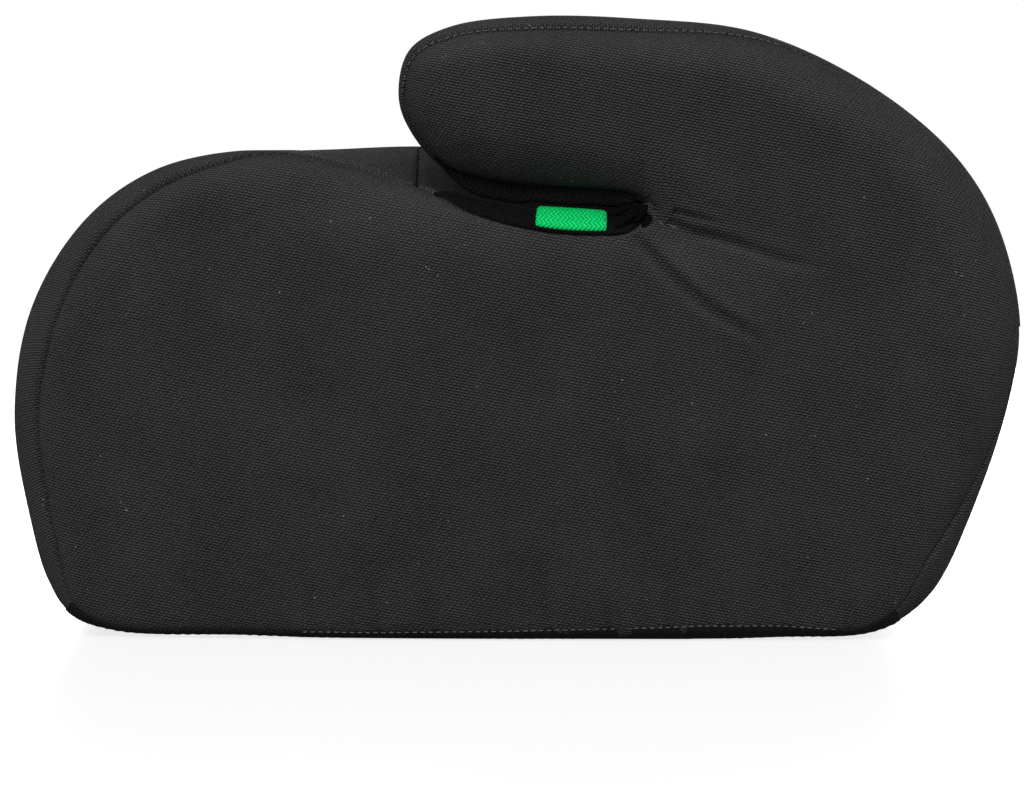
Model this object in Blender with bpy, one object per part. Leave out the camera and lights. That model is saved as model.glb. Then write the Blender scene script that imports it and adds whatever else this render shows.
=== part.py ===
"""A backless child booster seat with two hook-shaped arms: a moulded foam body, the steel rod, end caps and belt
guides inside it, comfort pads on it, and a sewn fabric cover over it with bound and lined belt slots and an elastic hem.

Frame: origin at the centre of the footprint on the floor, -Y is the front, +X is the child's left, +Z is up.

The body is described by its side view, an outline in Y and Z, and by rings of points that carry this outline from the
outer side faces round the edges and across to the middle. Every soft layer is a patch of that surface between two
depths under it, so the layers follow one another with a set clearance.
"""

import bisect
import math

import bmesh
import bpy
from mathutils import Vector
from mathutils.geometry import delaunay_2d_cdt

# Overall sizes
LENGTH = 0.391  # front to back
WIDTH = 0.410  # across the arms
HEIGHT = 0.2355  # top of the arms

# Side view
ARM_RISE = 0.0502  # top of the arms above the nose, where the thighs rest
SLOT_DROP = 0.0248  # the belt slot's floor, at its inner end, below the nose
SLOT_GAP = 0.0105  # height of the belt slot
SLOT_END = 0.0495  # Y of the belt slot's inner end
ARM_TIP = -0.0438  # Y of the arm's front end
SEAT_BACK = 0.150  # Y where the seat turns down at the rear
SEAT_CROWN = 0.0017  # the middle of the seat above the nose
SEAT_SEAM = -0.038  # Y of the seam across the seat

# Across the seat
ARM_WIDTH = 0.062
ARM_INNER_ROUND = 0.017
SEAT_SHOULDER = 0.068  # how far in from the arms the seat reaches its full height
NOSE_NARROWING = 0.13  # share of the width lost at the front
BACK_NARROWING = 0.07  # share of the width lost at the rear
NOSE_BOW = 0.003  # how far the front corners stand back from the middle
BACK_BOW = 0.003
FOOT_TAPER = 0.007  # how far each side leans in at the bottom
FOOT_LIFT = 0.0024  # how far the underside rises towards the front and the rear
FOOT_FLAT = 0.055  # Y, either way, where it starts to rise
SLOT_RELIEF = 0.009  # how deep the side dips along the belt slot

# Layers
GAP = 0.0003  # clearance between touching pieces
COVER_T = 0.0025  # laminated fabric
SEAT_PAD_T = 0.010
ARM_PAD_T = 0.006
GUIDE_T = 0.002
GUIDE_INSET = 0.005  # the belt guide's inner end stops this far short of the arm's inner face
SLOT_EASE = 0.0006  # extra room in the foam at the belt slot's inner end
SHARP = 0.0006  # smallest edge radius left on an inner layer
BINDING_PROUD = 0.0008
MARKER_T = 0.0009
HEM_T = 0.0014

# Trim
HEM_ROUND = 0.006  # radius of the elastic hem round the bottom edge
BINDING_ROUND = 0.008  # radius of the bound edge of the belt slot
BINDING_START = -0.028  # Y of its front end
BINDING_INNER = 0.006  # how far it folds over behind the edge
MARKER_START = 0.0075  # Y of the belt marker's front end
MARKER_LENGTH = 0.027

# Steel rod and foam body
ROD_R = 0.004
ROD_INSET = 0.031  # middle of the rod from the outer side
ROD_Y = 0.100  # where it crosses under the seat
ROD_Z = 0.011
ROD_BEND = 0.028
END_CAP_R = 0.0075
END_CAP_LENGTH = 0.020
POCKET_DEPTH = 0.095
POCKET_WALL = 0.055  # foam left outside the pockets
POCKET_RIB = 0.026  # foam between them

UNDER_COVER = COVER_T + GAP
SEAT_TOP = HEIGHT - ARM_RISE
SLOT_FLOOR = SEAT_TOP - SLOT_DROP
FRONT = -LENGTH / 2
REAR = LENGTH / 2
SIDE = WIDTH / 2
ARM_INNER = SIDE - ARM_WIDTH
SLOT_ROOF = SLOT_FLOOR + SLOT_GAP
ARM_DEPTH = HEIGHT - SLOT_ROOF

COLOURS = {
    "fabric": ((0.026, 0.027, 0.027), 0.95, 0.0),
    "tape": ((0.020, 0.020, 0.021), 0.85, 0.0),
    "green": ((0.008, 0.48, 0.12), 0.8, 0.0),
    "foam": ((0.045, 0.045, 0.047), 0.9, 0.0),
    "pad": ((0.62, 0.60, 0.55), 0.95, 0.0),
    "plastic": ((0.03, 0.03, 0.03), 0.5, 0.0),
    "steel": ((0.45, 0.46, 0.47), 0.4, 1.0),
}


# ---------------------------------------------------------------- side view


def nose_points():
    """(y, z, edge radius, seam) from the bottom up to the top of the nose. Seam is how far the side seam lies from
    the edge's crest, along the surface."""
    return [
        (FRONT + 0.040, FOOT_LIFT, HEM_ROUND, 0.0045),
        (FRONT + 0.0225, FOOT_LIFT + 0.0058, 0.010, 0.009),
        (FRONT + 0.0135, FOOT_LIFT + 0.0185, 0.016, 0.015),
        (FRONT + 0.0062, 0.245 * SEAT_TOP, 0.020, 0.0185),
        (FRONT + 0.0003, 0.455 * SEAT_TOP, 0.022, 0.0205),
        (FRONT + 0.0072, 0.675 * SEAT_TOP, 0.024, 0.0235),
        (FRONT + 0.0285, 0.857 * SEAT_TOP, 0.023, 0.0205),
        (FRONT + 0.0555, 0.959 * SEAT_TOP, 0.021, 0.0165),
        (FRONT + 0.0870, 0.999 * SEAT_TOP, 0.018, 0.009),
    ]


def ridge_points():
    """Top edge of the side, from the nose down to the belt slot's floor."""
    fall = SEAT_TOP - SLOT_FLOOR
    return [
        (FRONT + 0.111, SLOT_FLOOR + 0.965 * fall, 0.016, -0.003),
        (ARM_TIP - 0.018, SLOT_FLOOR + 0.77 * fall, 0.014, -0.004),
        (BINDING_START - 0.010, SLOT_FLOOR + 0.49 * fall, 0.011, -0.003),
        (BINDING_START + 0.003, SLOT_FLOOR + 0.325 * fall, 0.009, 0.006),
        (MARKER_START, SLOT_FLOOR + 0.075 * fall, BINDING_ROUND, 0.0095),
        (MARKER_START + MARKER_LENGTH, SLOT_FLOOR, BINDING_ROUND, 0.0095),
        (SLOT_END - 0.006, SLOT_FLOOR, BINDING_ROUND, 0.0095),
    ]


def arm_points():
    """The hook: the slot's inner end, the underside, the tip, the top and the upper rear."""
    return [
        (SLOT_END, SLOT_FLOOR + 0.42 * SLOT_GAP, 0.011, 0.003),
        (SLOT_END - 0.008, SLOT_ROOF - 0.0020, 0.015, -0.003),
        (SLOT_END - 0.032, SLOT_ROOF - 0.0002, 0.020, -0.004),
        (ARM_TIP + 0.036, SLOT_ROOF + 0.0022, 0.022, -0.004),
        (ARM_TIP + 0.016, SLOT_ROOF + 0.0090, 0.021, -0.004),
        (ARM_TIP + 0.0030, SLOT_ROOF + 0.385 * ARM_DEPTH, 0.019, -0.003),
        (ARM_TIP, SLOT_ROOF + 0.560 * ARM_DEPTH, 0.018, 0.002),
        (ARM_TIP + 0.0040, SLOT_ROOF + 0.805 * ARM_DEPTH, 0.018, 0.006),
        (ARM_TIP + 0.019, SLOT_ROOF + 0.935 * ARM_DEPTH, 0.018, 0.008),
        (ARM_TIP + 0.050, HEIGHT - 0.0003, 0.019, 0.010),
        (ARM_TIP + 0.090, HEIGHT - 0.0012, 0.020, 0.010),
        (ARM_TIP + 0.135, HEIGHT - 0.0061, 0.022, 0.006),
        (REAR - 0.061, HEIGHT - 0.0250, 0.024, -0.003),
        (REAR - 0.0265, HEIGHT - 0.0520, 0.026, -0.006),
        (REAR - 0.0090, HEIGHT - 0.0790, 0.028, -0.006),
    ]


def rear_points():
    """From below the arm down the rear to the bottom."""
    return [
        (REAR, 0.50 * HEIGHT, 0.028, -0.004),
        (REAR - 0.0047, 0.375 * HEIGHT, 0.028, 0.004),
        (REAR - 0.0175, 0.215 * HEIGHT, 0.027, 0.015),
        (REAR - 0.0330, 0.080 * HEIGHT, 0.022, 0.021),
        (REAR - 0.0455, FOOT_LIFT + 0.0055, 0.012, 0.012),
        (REAR - 0.0600, FOOT_LIFT, HEM_ROUND, 0.0045),
    ]


def bottom_points():
    """Along the floor, from the rear to the front: flat in the middle, and rising a little towards both ends."""
    ends = (REAR - 0.0960, FOOT_FLAT, 0.0, -FOOT_FLAT, FRONT + 0.0910)
    return [(y, FOOT_LIFT * smoothstep(FOOT_FLAT, FOOT_FLAT + 0.095, abs(y)), HEM_ROUND, 0.0045) for y in ends]


def smooth_through(points, closed, steps):
    """Points on a centripetal Catmull-Rom curve: steps[i] pieces from points[i] to the next, all values alike."""
    count = len(points)
    spans = count if closed else count - 1
    found = []
    for i in range(spans):
        near = []
        for k in (i - 1, i, i + 1, i + 2):
            near.append(points[k % count] if closed else points[min(max(k, 0), count - 1)])
        knots = [0.0]
        for a, b in zip(near, near[1:]):
            knots.append(knots[-1] + max(math.dist(a[:2], b[:2]), 1e-6) ** 0.5)
        for step in range(steps[i]):
            at = knots[1] + (knots[2] - knots[1]) * step / steps[i]
            found.append(tuple(blend_knots(knots, [p[c] for p in near], at) for c in range(len(near[0]))))
    if not closed:
        found.append(tuple(points[-1]))
    return found


def blend_knots(knots, values, at):
    """One value of the Catmull-Rom curve, by repeated linear blends."""

    def mix(low, high, first, second):
        return first + (second - first) * (at - low) / (high - low)

    ab, bc, cd = (mix(knots[i], knots[i + 1], values[i], values[i + 1]) for i in range(3))
    return mix(knots[1], knots[2], mix(knots[0], knots[2], ab, bc), mix(knots[1], knots[3], bc, cd))


def along(curve, at):
    """The second value of a curve of (first, second) points at a given first value, linear between them."""
    firsts = [p[0] for p in curve]
    if at <= firsts[0]:
        return curve[0][1]
    if at >= firsts[-1]:
        return curve[-1][1]
    i = bisect.bisect_right(firsts, at) - 1
    share = (at - firsts[i]) / (firsts[i + 1] - firsts[i])
    return curve[i][1] + (curve[i + 1][1] - curve[i][1]) * share


def smoothstep(low, high, at):
    share = min(max((at - low) / (high - low), 0.0), 1.0)
    return share * share * (3 - 2 * share)


# ---------------------------------------------------------------- body surface


class Body:
    """The seat's surface as numbered points, each of which can be placed at any depth under the surface."""

    SIDE_BANDS = 3  # rings 0 to 3 lie on the side panel, and ring 3 is its seam
    RINGS = 9  # the belt guides lie between rings 6 and 7, and ring 8 is where the arm's inner edge starts
    ACROSS = (0.62, 0.30, 0.0)  # further rings, as shares of the inner half width
    INNER_STEPS = (45, 90)  # degrees round the arm's inner edge
    CAP_SPACING = 0.026

    def __init__(self):
        groups = [("bottom", bottom_points()), ("nose", nose_points()), ("ridge", ridge_points())]
        groups += [("arm", arm_points()), ("rear", rear_points())]
        points, self.first = [], {}
        for name, some in groups:
            self.first[name] = len(points)
            points += some
        steps = []
        slot = self.first["arm"]
        for i, point in enumerate(points):
            far = math.dist(point[:2], points[(i + 1) % len(points)][:2])
            steps.append(2 if far > 0.021 or i in (slot - 1, slot) else 1)
        self.starts = [sum(steps[:i]) for i in range(len(points))]
        self.outline = []
        for i, (y, z, edge, seam) in enumerate(smooth_through(points, True, steps)):
            room = 0.455 * ARM_WIDTH
            if self.starts[self.first["arm"]] < i <= self.starts[self.first["arm"] + 11]:
                room = min(room, 0.36 * ARM_DEPTH)
            self.outline.append((y, max(z, 0.0), min(edge, room), seam * min(1.0, room / edge)))
        self.n = len(self.outline)
        self.normals = [self.normal_at(i) for i in range(self.n)]
        self.slot_end = self.starts[self.first["arm"]]
        self.rear_join = self.starts[self.first["rear"]]
        self.edge_line, self.crown_line = self.seat_lines()
        self.root = self.root_line()
        self.root_normals = self.line_normals(self.root)
        self.base = list(range(0, self.slot_end + 1))
        self.keys = []  # what each numbered point is
        self.index = {}
        self.triangles = []  # (a, b, c, label)
        self.build()

    def normal_at(self, i):
        before, after = self.outline[i - 1], self.outline[(i + 1) % self.n]
        along_y, along_z = after[0] - before[0], after[1] - before[1]
        size = math.hypot(along_y, along_z)
        return (-along_z / size, along_y / size)

    def seat_lines(self):
        """The seat beside the arms, and in the middle, as (y, z)."""
        high = SEAT_TOP + SEAT_CROWN
        join_y, join_z = self.outline[self.rear_join][:2]
        slot = self.outline[self.slot_end][:2]
        edge = [slot, (SLOT_END + 0.040, SLOT_FLOOR + 0.0035), (SEAT_BACK - 0.025, SLOT_FLOOR + 0.0005)]
        edge += [(SEAT_BACK, SLOT_FLOOR - 0.006), (join_y - 0.012, join_z + 0.024), (join_y, join_z)]
        crown = [(FRONT + 0.087, 0.997 * SEAT_TOP), (FRONT + 0.122, high - 0.0012), (SEAT_SEAM - 0.004, high)]
        crown += [(SLOT_END - 0.02, high - 0.0015), (SLOT_END + 0.03, high - 0.006)]
        crown += [(SEAT_BACK - 0.030, high - 0.0145), (SEAT_BACK, high - 0.022)]
        crown += [(join_y - 0.014, join_z + 0.031), (join_y, join_z)]
        fine = [smooth_through(line, False, [6] * (len(line) - 1)) for line in (edge, crown)]
        return fine[0], fine[1]

    def root_line(self):
        """Where the seat meets the inner face of an arm: points from the slot's end to the rear join."""
        start, end = self.outline[self.slot_end][0], self.outline[self.rear_join][0]
        shares = (0.14, 0.30, 0.46, 0.62, 0.76, 0.88, 0.96)
        ys = [start + (end - start) * share for share in shares]
        return [(y, along(self.edge_line, y)) for y in ys]

    @staticmethod
    def line_normals(line):
        """Upward directions square to an open line of (y, z)."""
        found = []
        for i in range(len(line)):
            before, after = line[max(i - 1, 0)], line[min(i + 1, len(line) - 1)]
            along_y, along_z = after[0] - before[0], after[1] - before[1]
            size = math.hypot(along_y, along_z)
            found.append((-along_z / size, along_y / size))
        return found

    def inner_round(self, i):
        """Radius of the arm's inner edge at outline point i. It fades out where the arm meets the seat."""
        if not self.slot_end < i < self.rear_join:
            return 0.0
        ends = min(i - self.slot_end, self.rear_join - i)
        return min(ARM_INNER_ROUND, 0.3 * ARM_WIDTH) * smoothstep(0, 4, ends)

    def rings_at(self, i):
        """How far along the surface from the side face each ring lies at outline point i."""
        _, _, edge, seam = self.outline[i]
        quarter = edge * math.pi / 2
        at_seam = quarter - seam
        end = quarter + (SIDE - edge) - (ARM_INNER + self.inner_round(i))
        rest = end - at_seam
        crest = max(quarter, at_seam + 0.25 * rest)
        middle = (at_seam + crest) / 2
        room = end - crest
        behind = crest + min(max(BINDING_INNER, at_seam + 0.45 * rest - crest), 0.45 * room)
        guide = end - min(GUIDE_INSET, 0.3 * room)
        return [0.0, at_seam / 3, at_seam * 2 / 3, at_seam, middle, crest, behind, guide, end]

    def seat_height(self, y, z, inward):
        """Height of the seat at inward metres in from the arm, where the side's own edge is at z."""
        share = smoothstep(0.0, SEAT_SHOULDER, inward)
        return z + (along(self.crown_line, y) - z) * share

    def place(self, key, depth):
        """The point of a key, depth metres under the surface."""
        kind, i, j, hand = key
        if kind == "ring":
            x, y, z = self.ring_point(i, j, depth)
        elif kind == "inner":
            x, y, z = self.inner_point(i, j, depth)
        elif kind == "across":
            x, y, z = self.across_point(i, j, depth)
        elif kind == "root":
            (y, z), (ny, nz) = self.root[i], self.root_normals[i]
            x, y, z = ARM_INNER + depth, y - ny * depth, z - nz * depth
        else:
            x, (y, z) = (SIDE - depth, self.cap_points[i]) if kind == "cap" else (ARM_INNER + depth, self.arm_cap_points[i])
        return warp(hand * x, y, z)

    def ring_point(self, i, j, depth):
        y, z, edge, _ = self.outline[i]
        ny, nz = self.normals[i]
        far = self.rings_at(i)[j]
        turn = math.pi / 2 - far / edge
        if turn > 0:
            reach = edge - (edge - depth) * math.cos(turn)
            return SIDE - edge + (edge - depth) * math.sin(turn), y - ny * reach, z - nz * reach
        x = SIDE - edge - (far - edge * math.pi / 2)
        if j == self.RINGS - 1 and self.slot_end <= i <= self.rear_join:
            x = ARM_INNER + max(self.inner_round(i), min(depth, UNDER_COVER) + SHARP)
        if i == self.slot_end and j == self.RINGS - 1:
            z -= min(depth, UNDER_COVER)
        return x, y - ny * depth, z - nz * depth

    def inner_point(self, i, j, depth):
        y, z = self.outline[i][:2]
        ny, nz = self.normals[i]
        edge = max(self.inner_round(i), depth + SHARP)
        turn = math.radians(self.INNER_STEPS[j])
        reach = edge - (edge - depth) * math.cos(turn)
        return ARM_INNER + edge - (edge - depth) * math.sin(turn), y - ny * reach, z - nz * reach

    def across_point(self, i, j, depth):
        share = self.ACROSS[j]
        x = ARM_INNER * share
        if i >= 1000:
            (y, z), (ny, nz) = self.root[i - 1000], self.root_normals[i - 1000]
            return x, y - ny * depth, self.seat_height(y, z, ARM_INNER - x) - nz * depth
        y, z = self.outline[i][:2]
        ny, nz = self.normals[i]
        if self.starts[self.first["ridge"]] - 1 <= i <= self.slot_end:
            return x, y, self.seat_height(y, z, ARM_INNER - x) - depth
        return x, y - ny * depth, z - nz * depth

    def number(self, *key):
        if key not in self.index:
            self.index[key] = len(self.keys)
            self.keys.append(key)
        return self.index[key]

    def quad(self, a, b, c, d, label):
        """Two triangles; a, b, c, d run anticlockwise seen from outside on the +X half."""
        for tri in ((a, b, c), (a, c, d)):
            if len(set(tri)) == 3:
                self.triangles.append((*tri, label))

    def build(self):
        n = self.n
        for hand in (1, -1):
            before = len(self.triangles)
            for i in range(n):
                after = (i + 1) % n
                for j in range(self.RINGS - 1):
                    a, b = self.number("ring", i, j, hand), self.number("ring", after, j, hand)
                    c, d = self.number("ring", after, j + 1, hand), self.number("ring", i, j + 1, hand)
                    self.quad(a, b, c, d, self.ring_label(i, j, hand))
            self.side_cap(hand)
            self.arm_inner(hand)
            self.half_across(hand)
            if hand < 0:
                turned = [(a, c, b, label) for a, b, c, label in self.triangles[before:]]
                self.triangles[before:] = turned

    def zone(self, i):
        """Which stretch of the outline runs from point i to the next."""
        names = ["bottom", "nose", "ridge", "arm", "rear"]
        found = names[0]
        for name in names:
            if i >= self.starts[self.first[name]]:
                found = name
        last = self.starts[self.first["rear"] + 5]
        return "bottom" if i >= last else found

    def ring_label(self, i, j, hand):
        zone = self.zone(i)
        hem = zone == "bottom" or i in (self.starts[self.first["nose"]], self.starts[self.first["rear"] + 4])
        hand_name = "left" if hand > 0 else "right"
        if hem:
            return "hem" if j < 5 or zone != "bottom" else "underside"
        if j < self.SIDE_BANDS:
            return f"side_{hand_name}"
        bound = self.starts[self.first["ridge"] + 3]
        if zone == "ridge" and i >= bound and j < 6:
            bound_end = self.starts[self.first["ridge"] + 6]
            return f"binding_{hand_name}" if i < bound_end else f"arm_{hand_name}"
        if zone == "nose" or (zone == "ridge" and i < self.seam_index()):
            return "front"
        if zone == "ridge":
            return "seat"
        if zone == "arm":
            lined = self.starts[self.first["arm"] + 1] <= i < self.starts[self.first["arm"] + 4]
            return f"lining_{hand_name}" if lined and j < 6 else f"arm_{hand_name}"
        return "rear"

    def seam_index(self):
        """The first outline point on the ridge at or behind the seam across the seat."""
        for i in range(self.starts[self.first["ridge"]], self.slot_end):
            if self.outline[i][0] >= SEAT_SEAM - 0.003:
                return i
        return self.slot_end

    def side_cap(self, hand):
        """Fills the side face with triangles between its edge and a grid of points inside it."""
        if hand > 0:
            rim = [self.ring_point(i, 0, 0.0)[1:] for i in range(self.n)]
            self.cap_points, self.cap_faces = filled(rim, self.CAP_SPACING)
        self.add_cap("cap", self.cap_faces, [self.number("ring", i, 0, hand) for i in range(self.n)], hand, "side")

    def arm_inner(self, hand):
        """The rounded inner edge of an arm and the flat face inside it."""
        chain = list(range(self.slot_end, self.rear_join + 1))
        last = self.RINGS - 1
        name = "arm_left" if hand > 0 else "arm_right"

        def at(i, j):
            if self.inner_round(i) == 0.0 or j < 0:
                return self.number("ring", i, last, hand)
            return self.number("inner", i, j, hand)

        for i, after in zip(chain, chain[1:]):
            for j in range(-1, len(self.INNER_STEPS) - 1):
                self.quad(at(i, j), at(after, j), at(after, j + 1), at(i, j + 1), name)
        deepest = len(self.INNER_STEPS) - 1
        loop = [at(i, deepest) for i in chain]
        loop += [self.number("root", k, 0, hand) for k in reversed(range(len(self.root)))]
        if hand > 0:
            rim = [self.place_flat(self.keys[p]) for p in loop]
            self.arm_cap_points, self.arm_cap_faces = filled(rim, self.CAP_SPACING)
        self.add_cap("arm_cap", self.arm_cap_faces, loop, hand, "arm", turned=True)

    def place_flat(self, key):
        kind, i, j, _ = key
        if kind == "root":
            return self.root[i]
        point = self.inner_point(i, j, 0.0) if kind == "inner" else self.ring_point(i, j, 0.0)
        return point[1:]

    def add_cap(self, kind, faces, rim, hand, label, turned=False):
        name = f"{label}_left" if hand > 0 else f"{label}_right"
        count = len(rim)
        for face in faces:
            a, b, c = (rim[v] if v < count else self.number(kind, v - count, 0, hand) for v in face)
            self.triangles.append((a, c, b, name) if turned else (a, b, c, name))

    def half_across(self, hand):
        """From the inner edge of the arm to the middle of the seat."""
        first_chain = list(range(self.rear_join, self.n)) + list(range(0, self.slot_end + 1))
        chain = [("ring", i) for i in first_chain] + [("root", k) for k in range(len(self.root))]
        chain.append(("ring", self.rear_join))
        for here, after in zip(chain, chain[1:]):
            label = self.across_label(here)
            for j in range(-1, len(self.ACROSS) - 1):
                a, b = self.across(here, j, hand), self.across(after, j, hand)
                c, d = self.across(after, j + 1, hand), self.across(here, j + 1, hand)
                self.quad(a, b, c, d, label)

    def across(self, item, j, hand):
        kind, i = item
        if j < 0:
            return self.number("ring", i, self.RINGS - 1, hand) if kind == "ring" else self.number("root", i, 0, hand)
        side = hand if self.ACROSS[j] > 0 else 1
        return self.number("across", i if kind == "ring" else 1000 + i, j, side)

    def across_label(self, item):
        kind, i = item
        if kind == "root":
            return "seat" if self.root[i][0] < SEAT_BACK - 0.004 else "rear"
        if i == self.slot_end:
            return "seat"
        return self.ring_label(i, self.RINGS - 2, 1)


def filled(rim, spacing):
    """Triangles that fill an outline, with a staggered grid of points inside it. Returns (inner points, faces)."""
    edges = [(i, (i + 1) % len(rim)) for i in range(len(rim))]
    low = [min(p[c] for p in rim) for c in (0, 1)]
    high = [max(p[c] for p in rim) for c in (0, 1)]
    inside = []
    row, z = 0, low[1] + spacing / 2
    while z < high[1]:
        y = low[0] + spacing / 2 * (row % 2)
        while y < high[0]:
            if within(rim, y, z) and clear_of(rim, y, z) > 0.5 * spacing:
                inside.append((y, z))
            y += spacing
        row, z = row + 1, z + spacing * 0.87
    points = [Vector(p) for p in rim] + [Vector(p) for p in inside]
    made = delaunay_2d_cdt(points, edges, [list(range(len(rim)))], 1, 1e-7)
    origin = [v[0] for v in made[3]]
    faces = []
    for face in made[2]:
        a, b, c = (origin[v] for v in face)
        turn = (points[b] - points[a]).cross(points[c] - points[a])
        faces.append((a, b, c) if turn > 0 else (a, c, b))
    return inside, faces


def within(rim, y, z):
    """Whether a point lies inside an outline, by counting crossings."""
    inside = False
    for (y1, z1), (y2, z2) in zip(rim, rim[1:] + rim[:1]):
        if (z1 > z) != (z2 > z) and y < (y2 - y1) * (z - z1) / (z2 - z1) + y1:
            inside = not inside
    return inside


def clear_of(rim, y, z):
    """Distance from a point to the nearest corner of an outline."""
    return min(math.hypot(y - a, z - b) for a, b in rim)


def warp(x, y, z):
    """Bends the straight body into its real plan and side shape: narrower ends, bowed front and rear, sides that
    lean in at the floor and dip along the belt slot."""
    far = abs(x)
    widest = SLOT_END
    if y < widest:
        narrow = NOSE_NARROWING * ((widest - y) / (widest - FRONT)) ** 2.2
    else:
        narrow = BACK_NARROWING * ((y - widest) / (REAR - widest)) ** 2.2
    outer = smoothstep(ARM_INNER + 0.006, SIDE, far)
    foot = FOOT_TAPER * max(0.0, 1 - z / (0.5 * SEAT_TOP)) ** 2
    line = along(slot_line(), y)
    strength = smoothstep(FRONT + 0.060, ARM_TIP - 0.010, y) * (1 - smoothstep(SLOT_END + 0.010, SLOT_END + 0.085, y))
    dip = SLOT_RELIEF * strength * math.exp(-(((z - line) / 0.017) ** 2))
    far_now = far * (1 - narrow) - (foot + dip) * outer
    if y < 0:
        y_now = y + NOSE_BOW * (far / SIDE) ** 2 * (y / FRONT) ** 2
    else:
        y_now = y - BACK_BOW * (far / SIDE) ** 2 * (y / REAR) ** 2
    return Vector((math.copysign(far_now, x), y_now, z))


def slot_line():
    """Middle of the dip along the belt slot, as (y, z): it runs on behind the slot and falls away."""
    middle = SLOT_FLOOR + SLOT_GAP / 2
    return [(ARM_TIP - 0.02, middle + 0.010), (SLOT_END, middle), (SLOT_END + 0.075, middle - 0.022)]


# ---------------------------------------------------------------- solids


def material(name):
    found = bpy.data.materials.get(name)
    if found:
        return found
    colour, rough, metal = COLOURS[name]
    made = bpy.data.materials.new(name)
    made.use_nodes = True
    shader = made.node_tree.nodes["Principled BSDF"]
    shader.inputs["Base Color"].default_value = (*colour, 1.0)
    shader.inputs["Roughness"].default_value = rough
    shader.inputs["Metallic"].default_value = metal
    made.diffuse_color = (*colour, 1.0)
    return made


def add_object(name, points, faces, look, parent=None):
    mesh = bpy.data.meshes.new(name)
    mesh.from_pydata([tuple(p) for p in points], [], faces)
    mesh.validate()
    made = bpy.data.objects.new(name, mesh)
    bpy.context.scene.collection.objects.link(made)
    mesh.materials.append(material(look))
    mesh.shade_smooth()
    mesh.set_sharp_from_angle(angle=math.radians(40))
    made.parent = parent
    return made


def rim_edges(faces):
    """Directed edges that only one face uses."""
    edges = {}
    for face in faces:
        for a, b in zip(face, face[1:] + face[:1]):
            edges[(a, b)] = face
    return {edge: face for edge, face in edges.items() if edge[::-1] not in edges}


def drawn_in(points, faces, rim):
    """Points with those on the rim moved half a clearance into the patch."""
    moves = {}
    for (a, b), face in rim.items():
        run = (points[b] - points[a]).normalized()
        corners = [points[v] for v in face]
        up = (corners[1] - corners[0]).cross(corners[2] - corners[0]).normalized()
        inward = up.cross(run)
        for v in (a, b):
            moves.setdefault(v, []).append(inward)
    moved = list(points)
    for v, directions in moves.items():
        total = sum(directions, Vector())
        if total.length > 0.2:
            moved[v] = points[v] + total.normalized() * (GAP / 2)
    return moved


def patch_solid(body, name, chosen, outer, inner, look, parent):
    """A closed layer over the chosen triangles, between two depths. A depth is a number or a function of a key."""
    used = sorted({v for tri in chosen for v in tri[:3]})
    new = {v: k for k, v in enumerate(used)}
    faces = [tuple(new[v] for v in tri[:3]) for tri in chosen]
    count = len(used)
    layers = []
    rim = rim_edges(faces)
    for depth in (outer, inner):
        points = [body.place(body.keys[v], depth(body.keys[v]) if callable(depth) else depth) for v in used]
        layers.append(drawn_in(points, faces, rim))
    solid = list(faces) + [(c + count, b + count, a + count) for a, b, c in faces]
    for a, b in rim:
        if a < b:
            solid += [(b, a, b + count), (a, a + count, b + count)]
        else:
            solid += [(b, a, a + count), (b, a + count, b + count)]
    return add_object(name, layers[0] + layers[1], solid, look, parent)


def cut(target, cutter, operation="DIFFERENCE"):
    """A Boolean with a helper that the render leaves out."""
    cutter.hide_render = True
    cutter.display_type = "WIRE"
    modifier = target.modifiers.new(cutter.name, "BOOLEAN")
    modifier.operation = operation
    modifier.solver = "EXACT"
    modifier.object = cutter


# ---------------------------------------------------------------- depths of the foam body



def is_guide(body, key):
    """Whether a key lies where a belt guide lines the slot."""
    kind, i, j, _ = key
    start, end = guide_range(body)
    return kind == "ring" and j in (6, 7) and start <= i <= end


def guide_range(body):
    """First and last outline points of the belt guides, on the slot's floor."""
    return body.starts[body.first["ridge"] + 3], body.starts[body.first["ridge"] + 6]


def arm_pad_range(body):
    return body.starts[body.first["arm"] + 6], body.starts[body.first["arm"] + 12]


def arm_pad_share(body, key):
    """How much of the arm pad's thickness there is at a key, from 0 to 1."""
    kind, i, j, _ = key
    first, last = arm_pad_range(body)
    lies_on = (kind == "ring" and j >= 5) or (kind == "inner" and j == 0)
    if not lies_on or not first <= i <= last:
        return 0.0
    ends = min(i - first, last - i)
    across = 1.0 if kind == "ring" and j >= 6 else 0.35
    return across * min(1.0, 0.25 + 0.375 * ends)


def seat_pad_share(body, key):
    """How much of the seat pad's thickness there is at a key, from 0 to 1."""
    kind, i, j, _ = key
    if kind != "across":
        return 0.0
    if i >= 1000:
        place = body.root[i - 1000][0]
    elif body.starts[body.first["ridge"]] <= i <= body.slot_end:
        place = body.outline[i][0]
    else:
        return 0.0
    front = FRONT + 0.095
    share = min(smoothstep(front, front + 0.03, place), 1 - smoothstep(SEAT_BACK - 0.03, SEAT_BACK - 0.002, place))
    return max(share, 0.12)


def foam_depth(body, key):
    """How deep the foam body's surface lies, under whatever covers it there."""
    kind, i, j, _ = key
    if is_guide(body, key):
        return UNDER_COVER + GUIDE_T + GAP
    if kind in ("ring", "across") and i < 1000 and lies_on_floor(body, kind, i, j):
        return 0.0
    if kind == "ring" and j >= 6 and abs(i - body.slot_end) <= 1:
        return UNDER_COVER + SLOT_EASE
    pad = seat_pad_share(body, key)
    if pad:
        return UNDER_COVER + pad * SEAT_PAD_T + GAP
    pad = arm_pad_share(body, key)
    return UNDER_COVER + (pad * ARM_PAD_T + GAP if pad else 0.0)


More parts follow.
